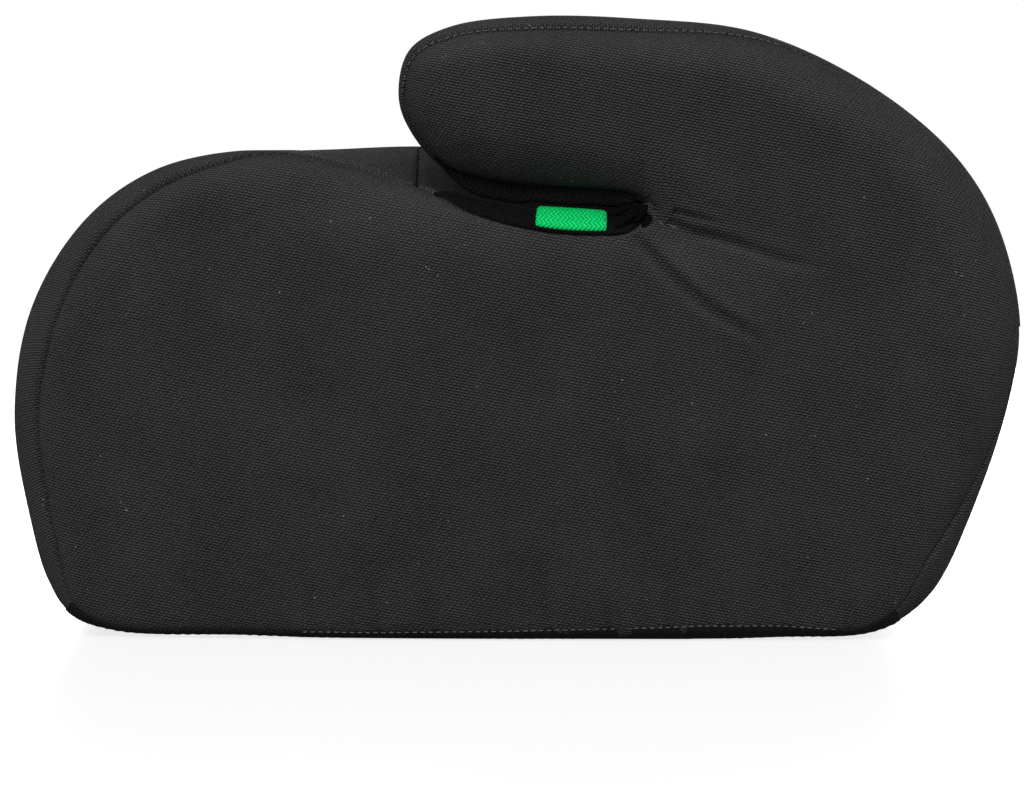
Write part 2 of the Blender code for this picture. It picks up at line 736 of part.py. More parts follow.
def lies_on_floor(body, kind, i, j):
    """Whether a key is on the bare underside, inside the hem."""
    front, rear = body.starts[body.first["nose"]], body.starts[body.first["rear"] + 5]
    on_bottom = i < front or i > rear
    return on_bottom and (kind == "across" or j >= 6)


# ---------------------------------------------------------------- pieces


def make_foam_body(body, parent):
    points = [body.place(key, foam_depth(body, key)) for key in body.keys]
    made = add_object("foam_body", points, [tri[:3] for tri in body.triangles], "foam", parent)
    for cutter in pocket_cutters() + rod_cutters():
        cut(made, cutter)
    return made


def box(name, low, high):
    """A helper block between two corners."""
    mesh = bpy.data.meshes.new(name)
    form = bmesh.new()
    bmesh.ops.create_cube(form, size=1.0)
    for v in form.verts:
        v.co = Vector(low[c] + (v.co[c] + 0.5) * (high[c] - low[c]) for c in range(3))
    form.to_mesh(mesh)
    form.free()
    made = bpy.data.objects.new(name, mesh)
    bpy.context.scene.collection.objects.link(made)
    return made


def pocket_cutters():
    """Weight-saving pockets in the underside, two rows of two, clear of the rod's groove."""
    front, rear = FRONT + POCKET_WALL + 0.004, ROD_Y - 0.022
    rows = 2
    long = (rear - front - POCKET_RIB * (rows - 1)) / rows
    made = []
    for row in range(rows):
        y = front + row * (long + POCKET_RIB)
        for hand in (1, -1):
            xs = sorted((hand * POCKET_RIB / 2, hand * (ARM_INNER - 0.018)))
            made.append(box(f"pocket_cutter_{row}_{hand}", (xs[0], y, -0.01), (xs[1], y + long, POCKET_DEPTH)))
    return made


def rod_route(hand):
    """The rod's middle line from the groove's middle up into one arm, as straight-space points joined by arcs."""
    x = SIDE - ROD_INSET
    arm_z = SLOT_ROOF + 0.52 * ARM_DEPTH
    tip = ARM_TIP + 0.034
    corners = [
        Vector((0.0, ROD_Y, ROD_Z)),
        Vector((x, ROD_Y, ROD_Z)),
        Vector((x, ROD_Y + 0.012, arm_z - 0.010)),
        Vector((x, tip, arm_z)),
    ]
    route = [corners[0]]
    for before, here, after in zip(corners, corners[1:], corners[2:]):
        back, on = (before - here).normalized(), (after - here).normalized()
        half = back.angle(on) / 2
        leg = ROD_BEND / math.tan(half)
        start, end = here + back * leg, here + on * leg
        centre = here + (back + on).normalized() * (ROD_BEND / math.sin(half))
        turn = math.pi - 2 * half
        for step in range(7):
            share = step / 6
            first, last = math.sin((1 - share) * turn), math.sin(share * turn)
            route.append(centre + ((start - centre) * first + (end - centre) * last) / math.sin(turn))
    route.append(corners[-1])
    return [Vector((hand * warp(*p).x, p.y, p.z)) for p in route]


def tube(name, route, radius, sides=10):
    """A closed round bar along a route."""
    form = bmesh.new()
    rings = []
    up = Vector((1, 0, 0))
    for i, point in enumerate(route):
        before, after = route[max(i - 1, 0)], route[min(i + 1, len(route) - 1)]
        forward = (after - before).normalized()
        up = (up - forward * up.dot(forward)).normalized()
        side = forward.cross(up)
        ring = []
        for k in range(sides):
            turn = 2 * math.pi * k / sides
            ring.append(form.verts.new(point + (up * math.cos(turn) + side * math.sin(turn)) * radius))
        rings.append(ring)
    for ring, after in zip(rings, rings[1:]):
        for k in range(sides):
            form.faces.new((ring[k], ring[(k + 1) % sides], after[(k + 1) % sides], after[k]))
    form.faces.new(reversed(rings[0]))
    form.faces.new(rings[-1])
    bmesh.ops.recalc_face_normals(form, faces=form.faces[:])
    mesh = bpy.data.meshes.new(name)
    form.to_mesh(mesh)
    form.free()
    made = bpy.data.objects.new(name, mesh)
    bpy.context.scene.collection.objects.link(made)
    return made


def full_route():
    left, right = rod_route(1), rod_route(-1)
    return list(reversed(left)) + right[1:]


def cap_route(hand):
    """From the closed end of an end cap back to its mouth."""
    end, before = rod_route(hand)[-1], rod_route(hand)[-2]
    forward = (end - before).normalized()
    return end, forward


def rod_cutters():
    groove = box("groove_cutter", (-SIDE + ROD_INSET + ROD_BEND, ROD_Y - ROD_R - GAP, -0.01),
                 (SIDE - ROD_INSET - ROD_BEND, ROD_Y + ROD_R + GAP, ROD_Z))
    made = [groove, tube("rod_channel_cutter", full_route(), ROD_R + GAP)]
    for hand in (1, -1):
        end, forward = cap_route(hand)
        start = end - forward * (END_CAP_LENGTH - 0.004 + GAP)
        made.append(tube(f"cap_cutter_{hand}", [start, end + forward * (0.004 + GAP)], END_CAP_R + GAP, 16))
    return made


def make_rod(parent):
    made = tube("steel_rod", full_route(), ROD_R)
    finish(made, "steel", parent)


def make_end_cap(name, hand, parent):
    """A blind plastic cap that spreads the rod's load in the foam."""
    end, forward = cap_route(hand)
    made = tube(name, [end - forward * (END_CAP_LENGTH - 0.004), end + forward * 0.004], END_CAP_R, 16)
    finish(made, "plastic", parent)
    cut(made, tube(f"{name}_bore", [end - forward * (END_CAP_LENGTH + 0.01), end + forward * GAP], ROD_R + GAP))


def finish(made, look, parent):
    made.data.materials.append(material(look))
    made.data.shade_smooth()
    made.data.set_sharp_from_angle(angle=math.radians(40))
    made.parent = parent


def chosen(body, *labels):
    return [tri for tri in body.triangles if tri[3] in labels]


def make_cover(body, parent):
    for label, name in (("front", "cover_front"), ("seat", "cover_seat"), ("rear", "cover_rear")):
        patch_solid(body, name, chosen(body, label), 0.0, COVER_T, "fabric", parent)
    for hand in ("left", "right"):
        patch_solid(body, f"cover_side_{hand}", chosen(body, f"side_{hand}"), 0.0, COVER_T, "fabric", parent)
        patch_solid(body, f"cover_arm_{hand}", chosen(body, f"arm_{hand}"), 0.0, COVER_T, "fabric", parent)


def make_trim(body, parent):
    under = COVER_T - HEM_T
    patch_solid(body, "hem_elastic", chosen(body, "hem"), lambda key: 0.0005, under + HEM_T, "tape", parent)
    for hand in ("left", "right"):
        bound = chosen(body, f"binding_{hand}")
        patch_solid(body, f"slot_binding_{hand}", bound, -BINDING_PROUD, COVER_T, "tape", parent)
        lined = chosen(body, f"lining_{hand}")
        patch_solid(body, f"slot_lining_{hand}", lined, -BINDING_PROUD, COVER_T, "tape", parent)
        marked = [tri for tri in bound if marks(body, tri)]
        top = -BINDING_PROUD - GAP
        patch_solid(body, f"belt_marker_{hand}", marked, top - MARKER_T, top, "green", parent)


def marks(body, tri):
    """Whether a triangle of the binding lies under the belt marker."""
    first, last = body.starts[body.first["ridge"] + 4], body.starts[body.first["ridge"] + 5]
    return all(first <= body.keys[v][1] <= last for v in tri[:3])


def make_guides(body, parent):
    for hand, name in ((1, "left"), (-1, "right")):
        found = []
        for tri in body.triangles:
            keys = [body.keys[v] for v in tri[:3]]
            if all(is_guide(body, k) and k[3] == hand for k in keys):
                found.append(tri)
        patch_solid(body, f"belt_guide_{name}", found, UNDER_COVER, UNDER_COVER + GUIDE_T, "plastic", parent)


def make_pads(body, parent):
    seat = [tri for tri in body.triangles if all(seat_pad_share(body, body.keys[v]) for v in tri[:3])]
    patch_solid(body, "seat_pad", seat, UNDER_COVER,
                lambda key: UNDER_COVER + seat_pad_share(body, key) * SEAT_PAD_T, "pad", parent)
    for hand, name in ((1, "left"), (-1, "right")):
        found = []
        for tri in body.triangles:
            keys = [body.keys[v] for v in tri[:3]]
            if all(k[3] == hand and arm_pad_share(body, k) for k in keys):
                found.append(tri)
        patch_solid(body, f"arm_pad_{name}", found, UNDER_COVER,
                    lambda key: UNDER_COVER + arm_pad_share(body, key) * ARM_PAD_T, "pad", parent)


def main():
    for old in list(bpy.data.objects):
        bpy.data.objects.remove(old)
    seat = bpy.data.objects.new("booster_seat", None)
    bpy.context.scene.collection.objects.link(seat)
    body = Body()
    make_foam_body(body, seat)
    make_rod(seat)
    for hand, name in ((1, "left"), (-1, "right")):
        make_end_cap(f"rod_cap_{name}", hand, seat)
    make_guides(body, seat)
    make_pads(body, seat)
    make_cover(body, seat)
    make_trim(body, seat)


main()
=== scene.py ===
"""Looks of the booster seat: a sewn cover of coarse black cloth over a foam body, with bound belt slots, a
green belt marker on each binding and an elastic hem, on a pale floor in soft studio light.

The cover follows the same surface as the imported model. A point of it is named by its place along the side's
outline (i) and its distance across from the side face, round the edge and on to the middle (far), and is
placed at a depth under that surface.
"""

import math

import bmesh
import bpy
import numpy as np
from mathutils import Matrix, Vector
from mathutils.geometry import delaunay_2d_cdt

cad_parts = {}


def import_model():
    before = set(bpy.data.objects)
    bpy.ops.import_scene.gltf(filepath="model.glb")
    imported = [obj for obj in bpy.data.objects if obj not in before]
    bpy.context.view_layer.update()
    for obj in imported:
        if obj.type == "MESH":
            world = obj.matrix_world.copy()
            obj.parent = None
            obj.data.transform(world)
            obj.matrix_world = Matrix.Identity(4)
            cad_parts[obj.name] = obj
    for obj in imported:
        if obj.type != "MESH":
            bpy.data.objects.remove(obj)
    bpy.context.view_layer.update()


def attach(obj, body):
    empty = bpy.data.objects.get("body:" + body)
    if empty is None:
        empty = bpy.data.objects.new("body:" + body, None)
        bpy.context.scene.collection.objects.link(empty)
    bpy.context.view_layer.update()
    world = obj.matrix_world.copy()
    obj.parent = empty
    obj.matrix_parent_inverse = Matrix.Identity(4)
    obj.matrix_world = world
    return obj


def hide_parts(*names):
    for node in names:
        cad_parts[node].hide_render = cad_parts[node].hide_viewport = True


# Sizes of the model
LENGTH, WIDTH, HEIGHT = 0.391, 0.410, 0.2355
SEAT_TOP, SLOT_FLOOR, SLOT_GAP, SLOT_END = HEIGHT - 0.0502, HEIGHT - 0.0750, 0.0105, 0.0495
ARM_TIP, SEAT_BACK, SEAT_CROWN, SEAT_SEAM = -0.0438, 0.150, 0.0017, -0.038
ARM_WIDTH, SEAT_SHOULDER = 0.062, 0.068
NOSE_NARROWING, BACK_NARROWING, NOSE_BOW, BACK_BOW = 0.13, 0.07, 0.003, 0.003
FOOT_TAPER, FOOT_LIFT, FOOT_FLAT = 0.007, 0.0024, 0.055
SLOT_RELIEF, HEM_ROUND, BINDING_ROUND = 0.009, 0.006, 0.008
BINDING_START, MARKER_START, MARKER_LENGTH = -0.028, 0.0075, 0.027
FRONT, REAR, SIDE = -LENGTH / 2, LENGTH / 2, WIDTH / 2
ARM_INNER = SIDE - ARM_WIDTH
SLOT_ROOF = SLOT_FLOOR + SLOT_GAP
ARM_DEPTH = HEIGHT - SLOT_ROOF

# Sizes of the cloth
STEP = 0.0012  # spacing of the cover's points along the outline
CAP_STEP = 0.0023  # on the side faces
FINE_STEP = 0.0008  # and there round the creases at the belt slot's end
SEAM_W = 0.0022  # how far from a seam the cloth starts to turn in
SEAM_SINK = 0.0023
LINING_CLEAR = 0.0036  # between the tape under the arm and the slot's floor, for the binding and marker
ARM_INNER_ROUND = 0.017
SHOULDER_SINK, SHOULDER_W, TUCK_W = 0.0012, 0.008, 0.0018  # the side's dip along a seam, and the fold in it
ARM_PUFF, HEM_PUFF = 0.0016, 0.0010
ARM_CAP_STEP, SEAT_COLUMNS = 0.0034, 44
CLOTH_SLACK = 0.0021  # how far the cloth can sink before it meets the foam
HEM_TURN_UNDER = 0.010
FLOOR_GAP = 0.0002
MARKER_OVERLAP = 0.0005
# the first radius is that of the bead that paints a highlight along the binding's upper edge
SLOT_HIGHLIGHT_R, THREAD_R, HEM_THREAD_R = 0.00038, 0.00018, 0.0002
STITCH, STITCH_GAP = 0.0019, 0.0011
LINT = (0.35, 0.35, 0.36, 1)


# ---------------------------------------------------------------- outline


def outline_points():
    """(y, z, edge radius, seam) round the side view, as in the model, in named stretches."""
    fall = SEAT_TOP - SLOT_FLOOR
    nose = [
        (FRONT + 0.040, FOOT_LIFT, HEM_ROUND, 0.0045),
        (FRONT + 0.0225, FOOT_LIFT + 0.0058, 0.010, 0.009),
        (FRONT + 0.0135, FOOT_LIFT + 0.0185, 0.016, 0.015),
        (FRONT + 0.0062, 0.245 * SEAT_TOP, 0.020, 0.0185),
        (FRONT + 0.0003, 0.455 * SEAT_TOP, 0.022, 0.0205),
        (FRONT + 0.0072, 0.675 * SEAT_TOP, 0.024, 0.0235),
        (FRONT + 0.0285, 0.857 * SEAT_TOP, 0.023, 0.0205),
        (FRONT + 0.0555, 0.959 * SEAT_TOP, 0.021, 0.0165),
        (FRONT + 0.0870, 0.999 * SEAT_TOP, 0.018, 0.009),
    ]
    ridge = [
        (FRONT + 0.111, SLOT_FLOOR + 0.965 * fall, 0.016, -0.003),
        (ARM_TIP - 0.018, SLOT_FLOOR + 0.77 * fall, 0.014, -0.004),
        (BINDING_START - 0.010, SLOT_FLOOR + 0.49 * fall, 0.011, -0.003),
        (BINDING_START + 0.003, SLOT_FLOOR + 0.325 * fall, 0.009, 0.006),
        (MARKER_START, SLOT_FLOOR + 0.075 * fall, BINDING_ROUND, 0.0110),
        (MARKER_START + MARKER_LENGTH, SLOT_FLOOR, BINDING_ROUND, 0.0110),
        (SLOT_END - 0.006, SLOT_FLOOR, BINDING_ROUND, 0.0100),
    ]
    arm = [
        (SLOT_END, SLOT_FLOOR + 0.42 * SLOT_GAP, 0.011, 0.003),
        (SLOT_END - 0.008, SLOT_ROOF - 0.0020, 0.015, -0.003),
        (SLOT_END - 0.032, SLOT_ROOF - 0.0002, 0.020, -0.004),
        (ARM_TIP + 0.036, SLOT_ROOF + 0.0022, 0.022, -0.004),
        (ARM_TIP + 0.016, SLOT_ROOF + 0.0090, 0.021, -0.004),
        (ARM_TIP + 0.0030, SLOT_ROOF + 0.385 * ARM_DEPTH, 0.019, -0.003),
        (ARM_TIP, SLOT_ROOF + 0.560 * ARM_DEPTH, 0.018, 0.002),
        (ARM_TIP + 0.0040, SLOT_ROOF + 0.805 * ARM_DEPTH, 0.0150, 0.006),
        (ARM_TIP + 0.019, SLOT_ROOF + 0.935 * ARM_DEPTH, 0.0165, 0.008),
        (ARM_TIP + 0.050, HEIGHT - 0.0003, 0.019, 0.010),
        (ARM_TIP + 0.090, HEIGHT - 0.0012, 0.020, 0.010),
        (ARM_TIP + 0.135, HEIGHT - 0.0061, 0.022, 0.006),
        (REAR - 0.061, HEIGHT - 0.0250, 0.024, -0.003),
        (REAR - 0.0265, HEIGHT - 0.0520, 0.026, -0.006),
        (REAR - 0.0090, HEIGHT - 0.0790, 0.028, -0.006),
    ]
    rear = [
        (REAR, 0.50 * HEIGHT, 0.028, -0.004),
        (REAR - 0.0047, 0.375 * HEIGHT, 0.028, 0.004),
        (REAR - 0.0175, 0.215 * HEIGHT, 0.027, 0.015),
        (REAR - 0.0330, 0.080 * HEIGHT, 0.022, 0.021),
        (REAR - 0.0455, FOOT_LIFT + 0.0055, 0.012, 0.012),
        (REAR - 0.0600, FOOT_LIFT, HEM_ROUND, 0.0045),
    ]
    ends = (REAR - 0.0960, FOOT_FLAT, 0.0, -FOOT_FLAT, FRONT + 0.0910)
    lift = [FOOT_LIFT * smoothstep(FOOT_FLAT, FOOT_FLAT + 0.095, abs(y)) for y in ends]
    bottom = [(y, z, HEM_ROUND, 0.0045) for y, z in zip(ends, lift)]
    return [("nose", nose), ("ridge", ridge), ("arm", arm), ("rear", rear), ("bottom", bottom)]


def spline(points, closed, step):
    """A centripetal Catmull-Rom curve through the points, and where each point falls on it."""
    points = np.array(points, float)
    count = len(points)
    spans = count if closed else count - 1
    found, starts = [], []
    for k in range(spans):
        index = [k - 1, k, k + 1, k + 2]
        index = [v % count if closed else min(max(v, 0), count - 1) for v in index]
        near = points[index]
        gaps = np.maximum(np.linalg.norm(np.diff(near[:, :2], axis=0), axis=1), 1e-6) ** 0.5
        t0, t1, t2, t3 = np.concatenate([[0], np.cumsum(gaps)])
        pieces = max(1, int(round(np.linalg.norm(near[2][:2] - near[1][:2]) / step)))
        t = np.linspace(t1, t2, pieces, endpoint=False)[:, None]
        a = near[0] * (t1 - t) / (t1 - t0) + near[1] * (t - t0) / (t1 - t0)
        b = near[1] * (t2 - t) / (t2 - t1) + near[2] * (t - t1) / (t2 - t1)
        c = near[2] * (t3 - t) / (t3 - t2) + near[3] * (t - t2) / (t3 - t2)
        ab = a * (t2 - t) / (t2 - t0) + b * (t - t0) / (t2 - t0)
        bc = b * (t3 - t) / (t3 - t1) + c * (t - t1) / (t3 - t1)
        starts.append(sum(len(f) for f in found))
        found.append(ab * (t2 - t) / (t2 - t1) + bc * (t - t1) / (t2 - t1))
    curve = np.concatenate(found)
    if not closed:
        starts.append(len(curve))
        curve = np.concatenate([curve, points[-1:]])
    return curve, starts


def normals_of(curve, closed):
    """Outward directions of a (y, z) curve that runs clockwise."""
    if closed:
        along = np.roll(curve, -1, 0) - np.roll(curve, 1, 0)
    else:
        along = np.gradient(curve, axis=0)
    out = np.stack([-along[:, 1], along[:, 0]], 1)
    return out / np.maximum(np.linalg.norm(out, axis=1, keepdims=True), 1e-9)


def smoothstep(low, high, at):
    share = np.clip((at - low) / (high - low), 0, 1)
    return share * share * (3 - 2 * share)


def lengths_along(points):
    """How far along a row of points each of them lies."""
    return np.concatenate([[0], np.cumsum(np.linalg.norm(np.diff(points, axis=0), axis=1))])


def smoothed(values, times):
    """A closed row of values, averaged with their neighbours."""
    for _ in range(times):
        values = (np.roll(values, 1, 0) + 2 * values + np.roll(values, -1, 0)) / 4
    return values


class Skin:
    """The seat's surface."""

    def __init__(self):
        groups = outline_points()
        self.first, points = {}, []
        for name, some in groups:
            self.first[name] = len(points)
            points += some
        curve, starts = spline(points, True, STEP)
        curve = smoothed(curve, 4)
        curve[:, 1] = np.maximum(curve[:, 1], 0)
        self.starts = starts
        self.yz, self.edge, self.seam = curve[:, :2], smoothed(curve[:, 2], 26), smoothed(curve[:, 3], 26)
        self.n = len(curve)
        self.normal = smoothed(normals_of(self.yz, True), 6)
        self.normal /= np.linalg.norm(self.normal, axis=1, keepdims=True)
        gaps = np.linalg.norm(np.roll(self.yz, -1, 0) - self.yz, axis=1)
        self.run = np.concatenate([[0], np.cumsum(gaps)[:-1]])
        self.slot_end = self.at("arm", 0)
        self.rear_join = self.at("rear", 0)
        ends = np.minimum(np.arange(self.n) - self.slot_end, self.rear_join - np.arange(self.n))
        self.inner = ARM_INNER_ROUND * smoothstep(0, 0.047 / STEP, ends)
        self.quarter = self.edge * math.pi / 2
        self.at_seam = self.quarter - self.seam
        self.end = self.quarter + (SIDE - self.edge) - (ARM_INNER + self.inner)
        self.middle = self.quarter + SIDE - self.edge
        self.edge_line, self.crown_line = self.seat_lines()
        self.slot_line = np.array([
            (ARM_TIP - 0.02, SLOT_FLOOR + SLOT_GAP / 2 + 0.010),
            (SLOT_END, SLOT_FLOOR + SLOT_GAP / 2),
            (SLOT_END + 0.075, SLOT_FLOOR + SLOT_GAP / 2 - 0.022),
        ])

    def at(self, name, k):
        return self.starts[self.first[name] + k]

    def seat_lines(self):
        high = SEAT_TOP + SEAT_CROWN
        join_y, join_z = self.yz[self.rear_join]
        edge = [tuple(self.yz[self.slot_end]), (SLOT_END + 0.040, SLOT_FLOOR + 0.0035)]
        edge += [(SEAT_BACK - 0.025, SLOT_FLOOR + 0.0005), (SEAT_BACK, SLOT_FLOOR - 0.006)]
        edge += [(join_y - 0.012, join_z + 0.024), (join_y, join_z)]
        crown = [(FRONT + 0.087, 0.997 * SEAT_TOP), (FRONT + 0.122, high - 0.0012), (SEAT_SEAM - 0.004, high)]
        crown += [(SLOT_END - 0.02, high - 0.0015), (SLOT_END + 0.03, high - 0.006)]
        crown += [(SEAT_BACK - 0.030, high - 0.0145), (SEAT_BACK, high - 0.022)]
        crown += [(join_y - 0.014, join_z + 0.031), (join_y, join_z)]
        return spline(edge, False, 0.004)[0], spline(crown, False, 0.004)[0]

    def seat_height(self, y, z, inward):
        crown = np.interp(y, self.crown_line[:, 0], self.crown_line[:, 1])
        return z + (crown - z) * smoothstep(0.0, SEAT_SHOULDER, inward)

    def flat(self, i, far, depth):
        """Points before the body's bend, for arrays of outline index, distance across and depth."""
        i = np.asarray(i) % self.n
        edge, inner, end = self.edge[i], self.inner[i], self.end[i]
        y, z = self.yz[i, 0], self.yz[i, 1]
        ny, nz = self.normal[i, 0], self.normal[i, 1]
        turn = np.clip(math.pi / 2 - far / edge, 0, None)
        round_x = SIDE - edge + (edge - depth) * np.sin(turn)
        reach = edge - (edge - depth) * np.cos(turn)
        on_round = turn > 0
        x = np.where(on_round, round_x, SIDE - edge - (far - self.quarter[i]))
        reach = np.where(on_round, reach, depth)
        on_arm = (i > self.slot_end) & (i < self.rear_join) & (inner > 1e-5)
        turn = np.clip((far - end) / np.maximum(inner, 1e-5), 0, math.pi / 2)
        past = on_arm & (far > end)
        x = np.where(past, ARM_INNER + inner - (inner - depth) * np.sin(turn), x)
        reach = np.where(past, inner - (inner - depth) * np.cos(turn), reach)
        y_now, z_now = y - ny * reach, z - nz * reach
        on_seat = (i >= self.at("ridge", 0) - 1) & (i <= self.slot_end) & (x < ARM_INNER)
        lifted = self.seat_height(y, z, ARM_INNER - x) - depth
        share = smoothstep(0, 0.006, ARM_INNER - x)
        z_now = np.where(on_seat, z_now * (1 - share) + lifted * share, z_now)
        return np.stack([x, y_now, z_now], -1)

    def warp(self, p):
        """The body's bend: narrower ends, bowed front and rear, sides that lean in and dip at the slot."""
        x, y, z = p[..., 0], p[..., 1], p[..., 2]
        far = np.abs(x)
        ahead = np.clip((SLOT_END - y) / (SLOT_END - FRONT), 0, None)
        behind = np.clip((y - SLOT_END) / (REAR - SLOT_END), 0, None)
        narrow = NOSE_NARROWING * ahead**2.2 + BACK_NARROWING * behind**2.2
        outer = smoothstep(ARM_INNER + 0.006, SIDE, far)
        foot = FOOT_TAPER * np.clip(1 - z / (0.5 * SEAT_TOP), 0, None) ** 2
        line = np.interp(y, self.slot_line[:, 0], self.slot_line[:, 1])
        strength = smoothstep(FRONT + 0.060, ARM_TIP - 0.010, y)
        strength = strength * (1 - smoothstep(SLOT_END + 0.010, SLOT_END + 0.085, y))
        dip = SLOT_RELIEF * strength * np.exp(-(((z - line) / 0.017) ** 2))
        far = far * (1 - narrow) - (foot + dip) * outer
        bow = np.where(y < 0, NOSE_BOW * (y / FRONT) ** 2, -BACK_BOW * (y / REAR) ** 2)
        return np.stack([np.sign(x) * far, y + bow * (np.abs(x) / SIDE) ** 2, z], -1)

    def laid(self, rows, far, depth, run):
        """(points, cloth) for outline rows, with distances across and depths for each row."""
        i = np.repeat(rows[:, None], far.shape[1], 1)
        cloth = np.stack([far, np.repeat(run[:, None], far.shape[1], 1)], -1)
        return self.warp(self.flat(i, far, depth)), cloth


# ---------------------------------------------------------------- meshes


def placed(name, data):
    """A new object in the scene."""
    made = bpy.data.objects.new(name, data)
    bpy.context.scene.collection.objects.link(made)
    return made


class Sheet:
    """Vertices, faces and cloth coordinates gathered for one mesh."""

    def __init__(self):
        self.points, self.faces, self.cloth, self.count = [], [], [], 0

    def add(self, points, cloth, faces):
        points, cloth = np.asarray(points).reshape(-1, 3), np.asarray(cloth).reshape(-1, 2)
        self.points.append(points)
        self.cloth.append(cloth)
        self.faces += [tuple(v + self.count for v in face) for face in faces]
        self.count += len(points)

    def grid(self, points, cloth, closed=False):
        """A grid of points[row][column]. closed joins the last row to the first."""
        rows, cols = points.shape[:2]
        faces = []
        for r in range(rows if closed else rows - 1):
            s = (r + 1) % rows
            for c in range(cols - 1):
                faces.append((r * cols + c, s * cols + c, s * cols + c + 1, r * cols + c + 1))
        self.add(points, cloth, faces)

    def object(self, name, look, merge=0.00003):
        points, cloth = np.concatenate(self.points), np.concatenate(self.cloth)
        mesh = bpy.data.meshes.new(name)
        mesh.from_pydata(points.tolist(), [], self.faces)
        layer = mesh.uv_layers.new(name="Cloth")
        corners = np.zeros(len(mesh.loops), int)
        mesh.loops.foreach_get("vertex_index", corners)
        layer.data.foreach_set("uv", cloth[corners].ravel())
        made = placed(name, mesh)
        mesh.materials.append(look)
        mesh.shade_smooth()
        weld(made, merge)
        return made


def weld(target, distance):
    form = bmesh.new()
    form.from_mesh(target.data)
    bmesh.ops.remove_doubles(form, verts=form.verts, dist=distance)
    bmesh.ops.dissolve_degenerate(form, edges=form.edges, dist=1e-7)
    form.to_mesh(target.data)
    form.free()


def mirrored(source, name):
    """The same piece on the other side."""
    mesh = source.data.copy()
    mesh.name = name
    count = len(mesh.vertices)
    at = np.zeros(count * 3)
    mesh.vertices.foreach_get("co", at)
    at = at.reshape(-1, 3)
    at[:, 0] *= -1
    mesh.vertices.foreach_set("co", at.ravel())
    mesh.flip_normals()
    mesh.update()
    made = placed(name, mesh)
    return made


def turned_in(distance):
    """How deep the cloth lies at a distance from its seam."""
    share = np.clip(1 - distance / SEAM_W, 0, 1)
    return SEAM_SINK * (1 - np.sqrt(np.clip(1 - share**2, 0, 1)))


def tucked_under(distance):
    """How deep the side's cloth lies at a distance from its seam, where the next panel rolls over it."""
    shoulder = SHOULDER_SINK * np.exp(-((distance / SHOULDER_W) ** 2))
    return shoulder + (SEAM_SINK - SHOULDER_SINK) * np.clip(1 - distance / TUCK_W, 0, 1) ** 1.5


def near_seam(length, coarse):
    """Distances across a panel, close together near its seam. length has one value per row."""
    fine = np.array([0, 0.0002, 0.0006, 0.0012, 0.0020, 0.0030, 0.0045])
    start = fine[None, :] * np.minimum(1, length / 0.012)[:, None]
    end = length[:, None]
    low, high = start[:, -1], length
    count = max(2, int(np.max(high - low) / coarse))
    middle = low[:, None] + (high - low)[:, None] * np.linspace(0, 1, count + 1)[None, 1:-1]
    return np.concatenate([start, middle, end], 1)


# ---------------------------------------------------------------- wrinkles


def from_slot(*places):
    """(y, z) points from millimetres behind the slot's end and above its floor."""
    return [(SLOT_END + y / 1000, SLOT_FLOOR + z / 1000) for y, z in places]


GATHERS = [  # (y, strength) of the puckers over the elastic hem
    (-0.076, 0.6), (-0.053, 0.9), (-0.030, 0.5), (-0.008, 0.4), (0.012, 0.9),
    (0.035, 1.4), (0.058, 1.0), (0.080, 0.6), (0.104, 0.5), (0.127, 0.5),
]
CREASES = [  # (points, height of the fold over the crease, depth of the crease, width)
    (from_slot((-1.0, 3.6), (6.5, 2.6), (12.7, 1.3), (26.3, -2.1), (33.5, -3.4)), 0.0006, 0.0018, 0.0013),
    (from_slot((0.5, -0.4), (9.2, -3.3), (17.6, -6.7), (26.3, -8.2), (35.0, -10.8), (42.0, -13.3),
               (51.3, -16.5), (62.7, -18.8), (74.5, -20.2)), 0.0006, 0.0023, 0.0022),
    (from_slot((-5.5, -4.9), (-2.5, -10.8), (3.6, -16.9), (11.9, -25.2), (17.6, -30.2), (26.3, -36.6),
               (35.8, -42.3), (49.0, -50.2)), 0.0010, 0.0038, 0.0022),
]
VALLEY = from_slot((-1.5, -0.5), (10.5, -7.5), (25.5, -14.5), (44.5, -22.5))  # the dip between them
VALLEY_FOLD, VALLEY_FOLD_AT, VALLEY_FOLD_BELOW, VALLEY_FOLD_ABOVE = 0.0048, 0.013, 0.0075, 0.028
VALLEY_DIP, VALLEY_W = 0.0016, 0.0060
GATHER_DIP, GATHER_W, GATHER_STEP, GATHER_FOLD_W = 0.0019, 0.0023, 0.0054, 0.0038


def along_line(y, z, line):
    """(signed distance from a line of points, share of the way along it) for arrays of y and z."""
    line = np.array(line)
    lengths = np.linalg.norm(np.diff(line, axis=0), axis=1)
    total, before = lengths.sum(), 0.0
    best = np.full(np.shape(y), 1e9)
    side, share = np.zeros(np.shape(y)), np.zeros(np.shape(y))
    for a, b, size in zip(line, line[1:], lengths):
        run = (b - a) / size
        t = np.clip((y - a[0]) * run[0] + (z - a[1]) * run[1], 0, size)
        dy, dz = y - a[0] - run[0] * t, z - a[1] - run[1] * t
        away = np.hypot(dy, dz)
        nearer = away < best
        best = np.where(nearer, away, best)
        side = np.where(nearer, np.sign(run[0] * dz - run[1] * dy) * away, side)
        share = np.where(nearer, (before + t) / total, share)
        before += size
    return side, share


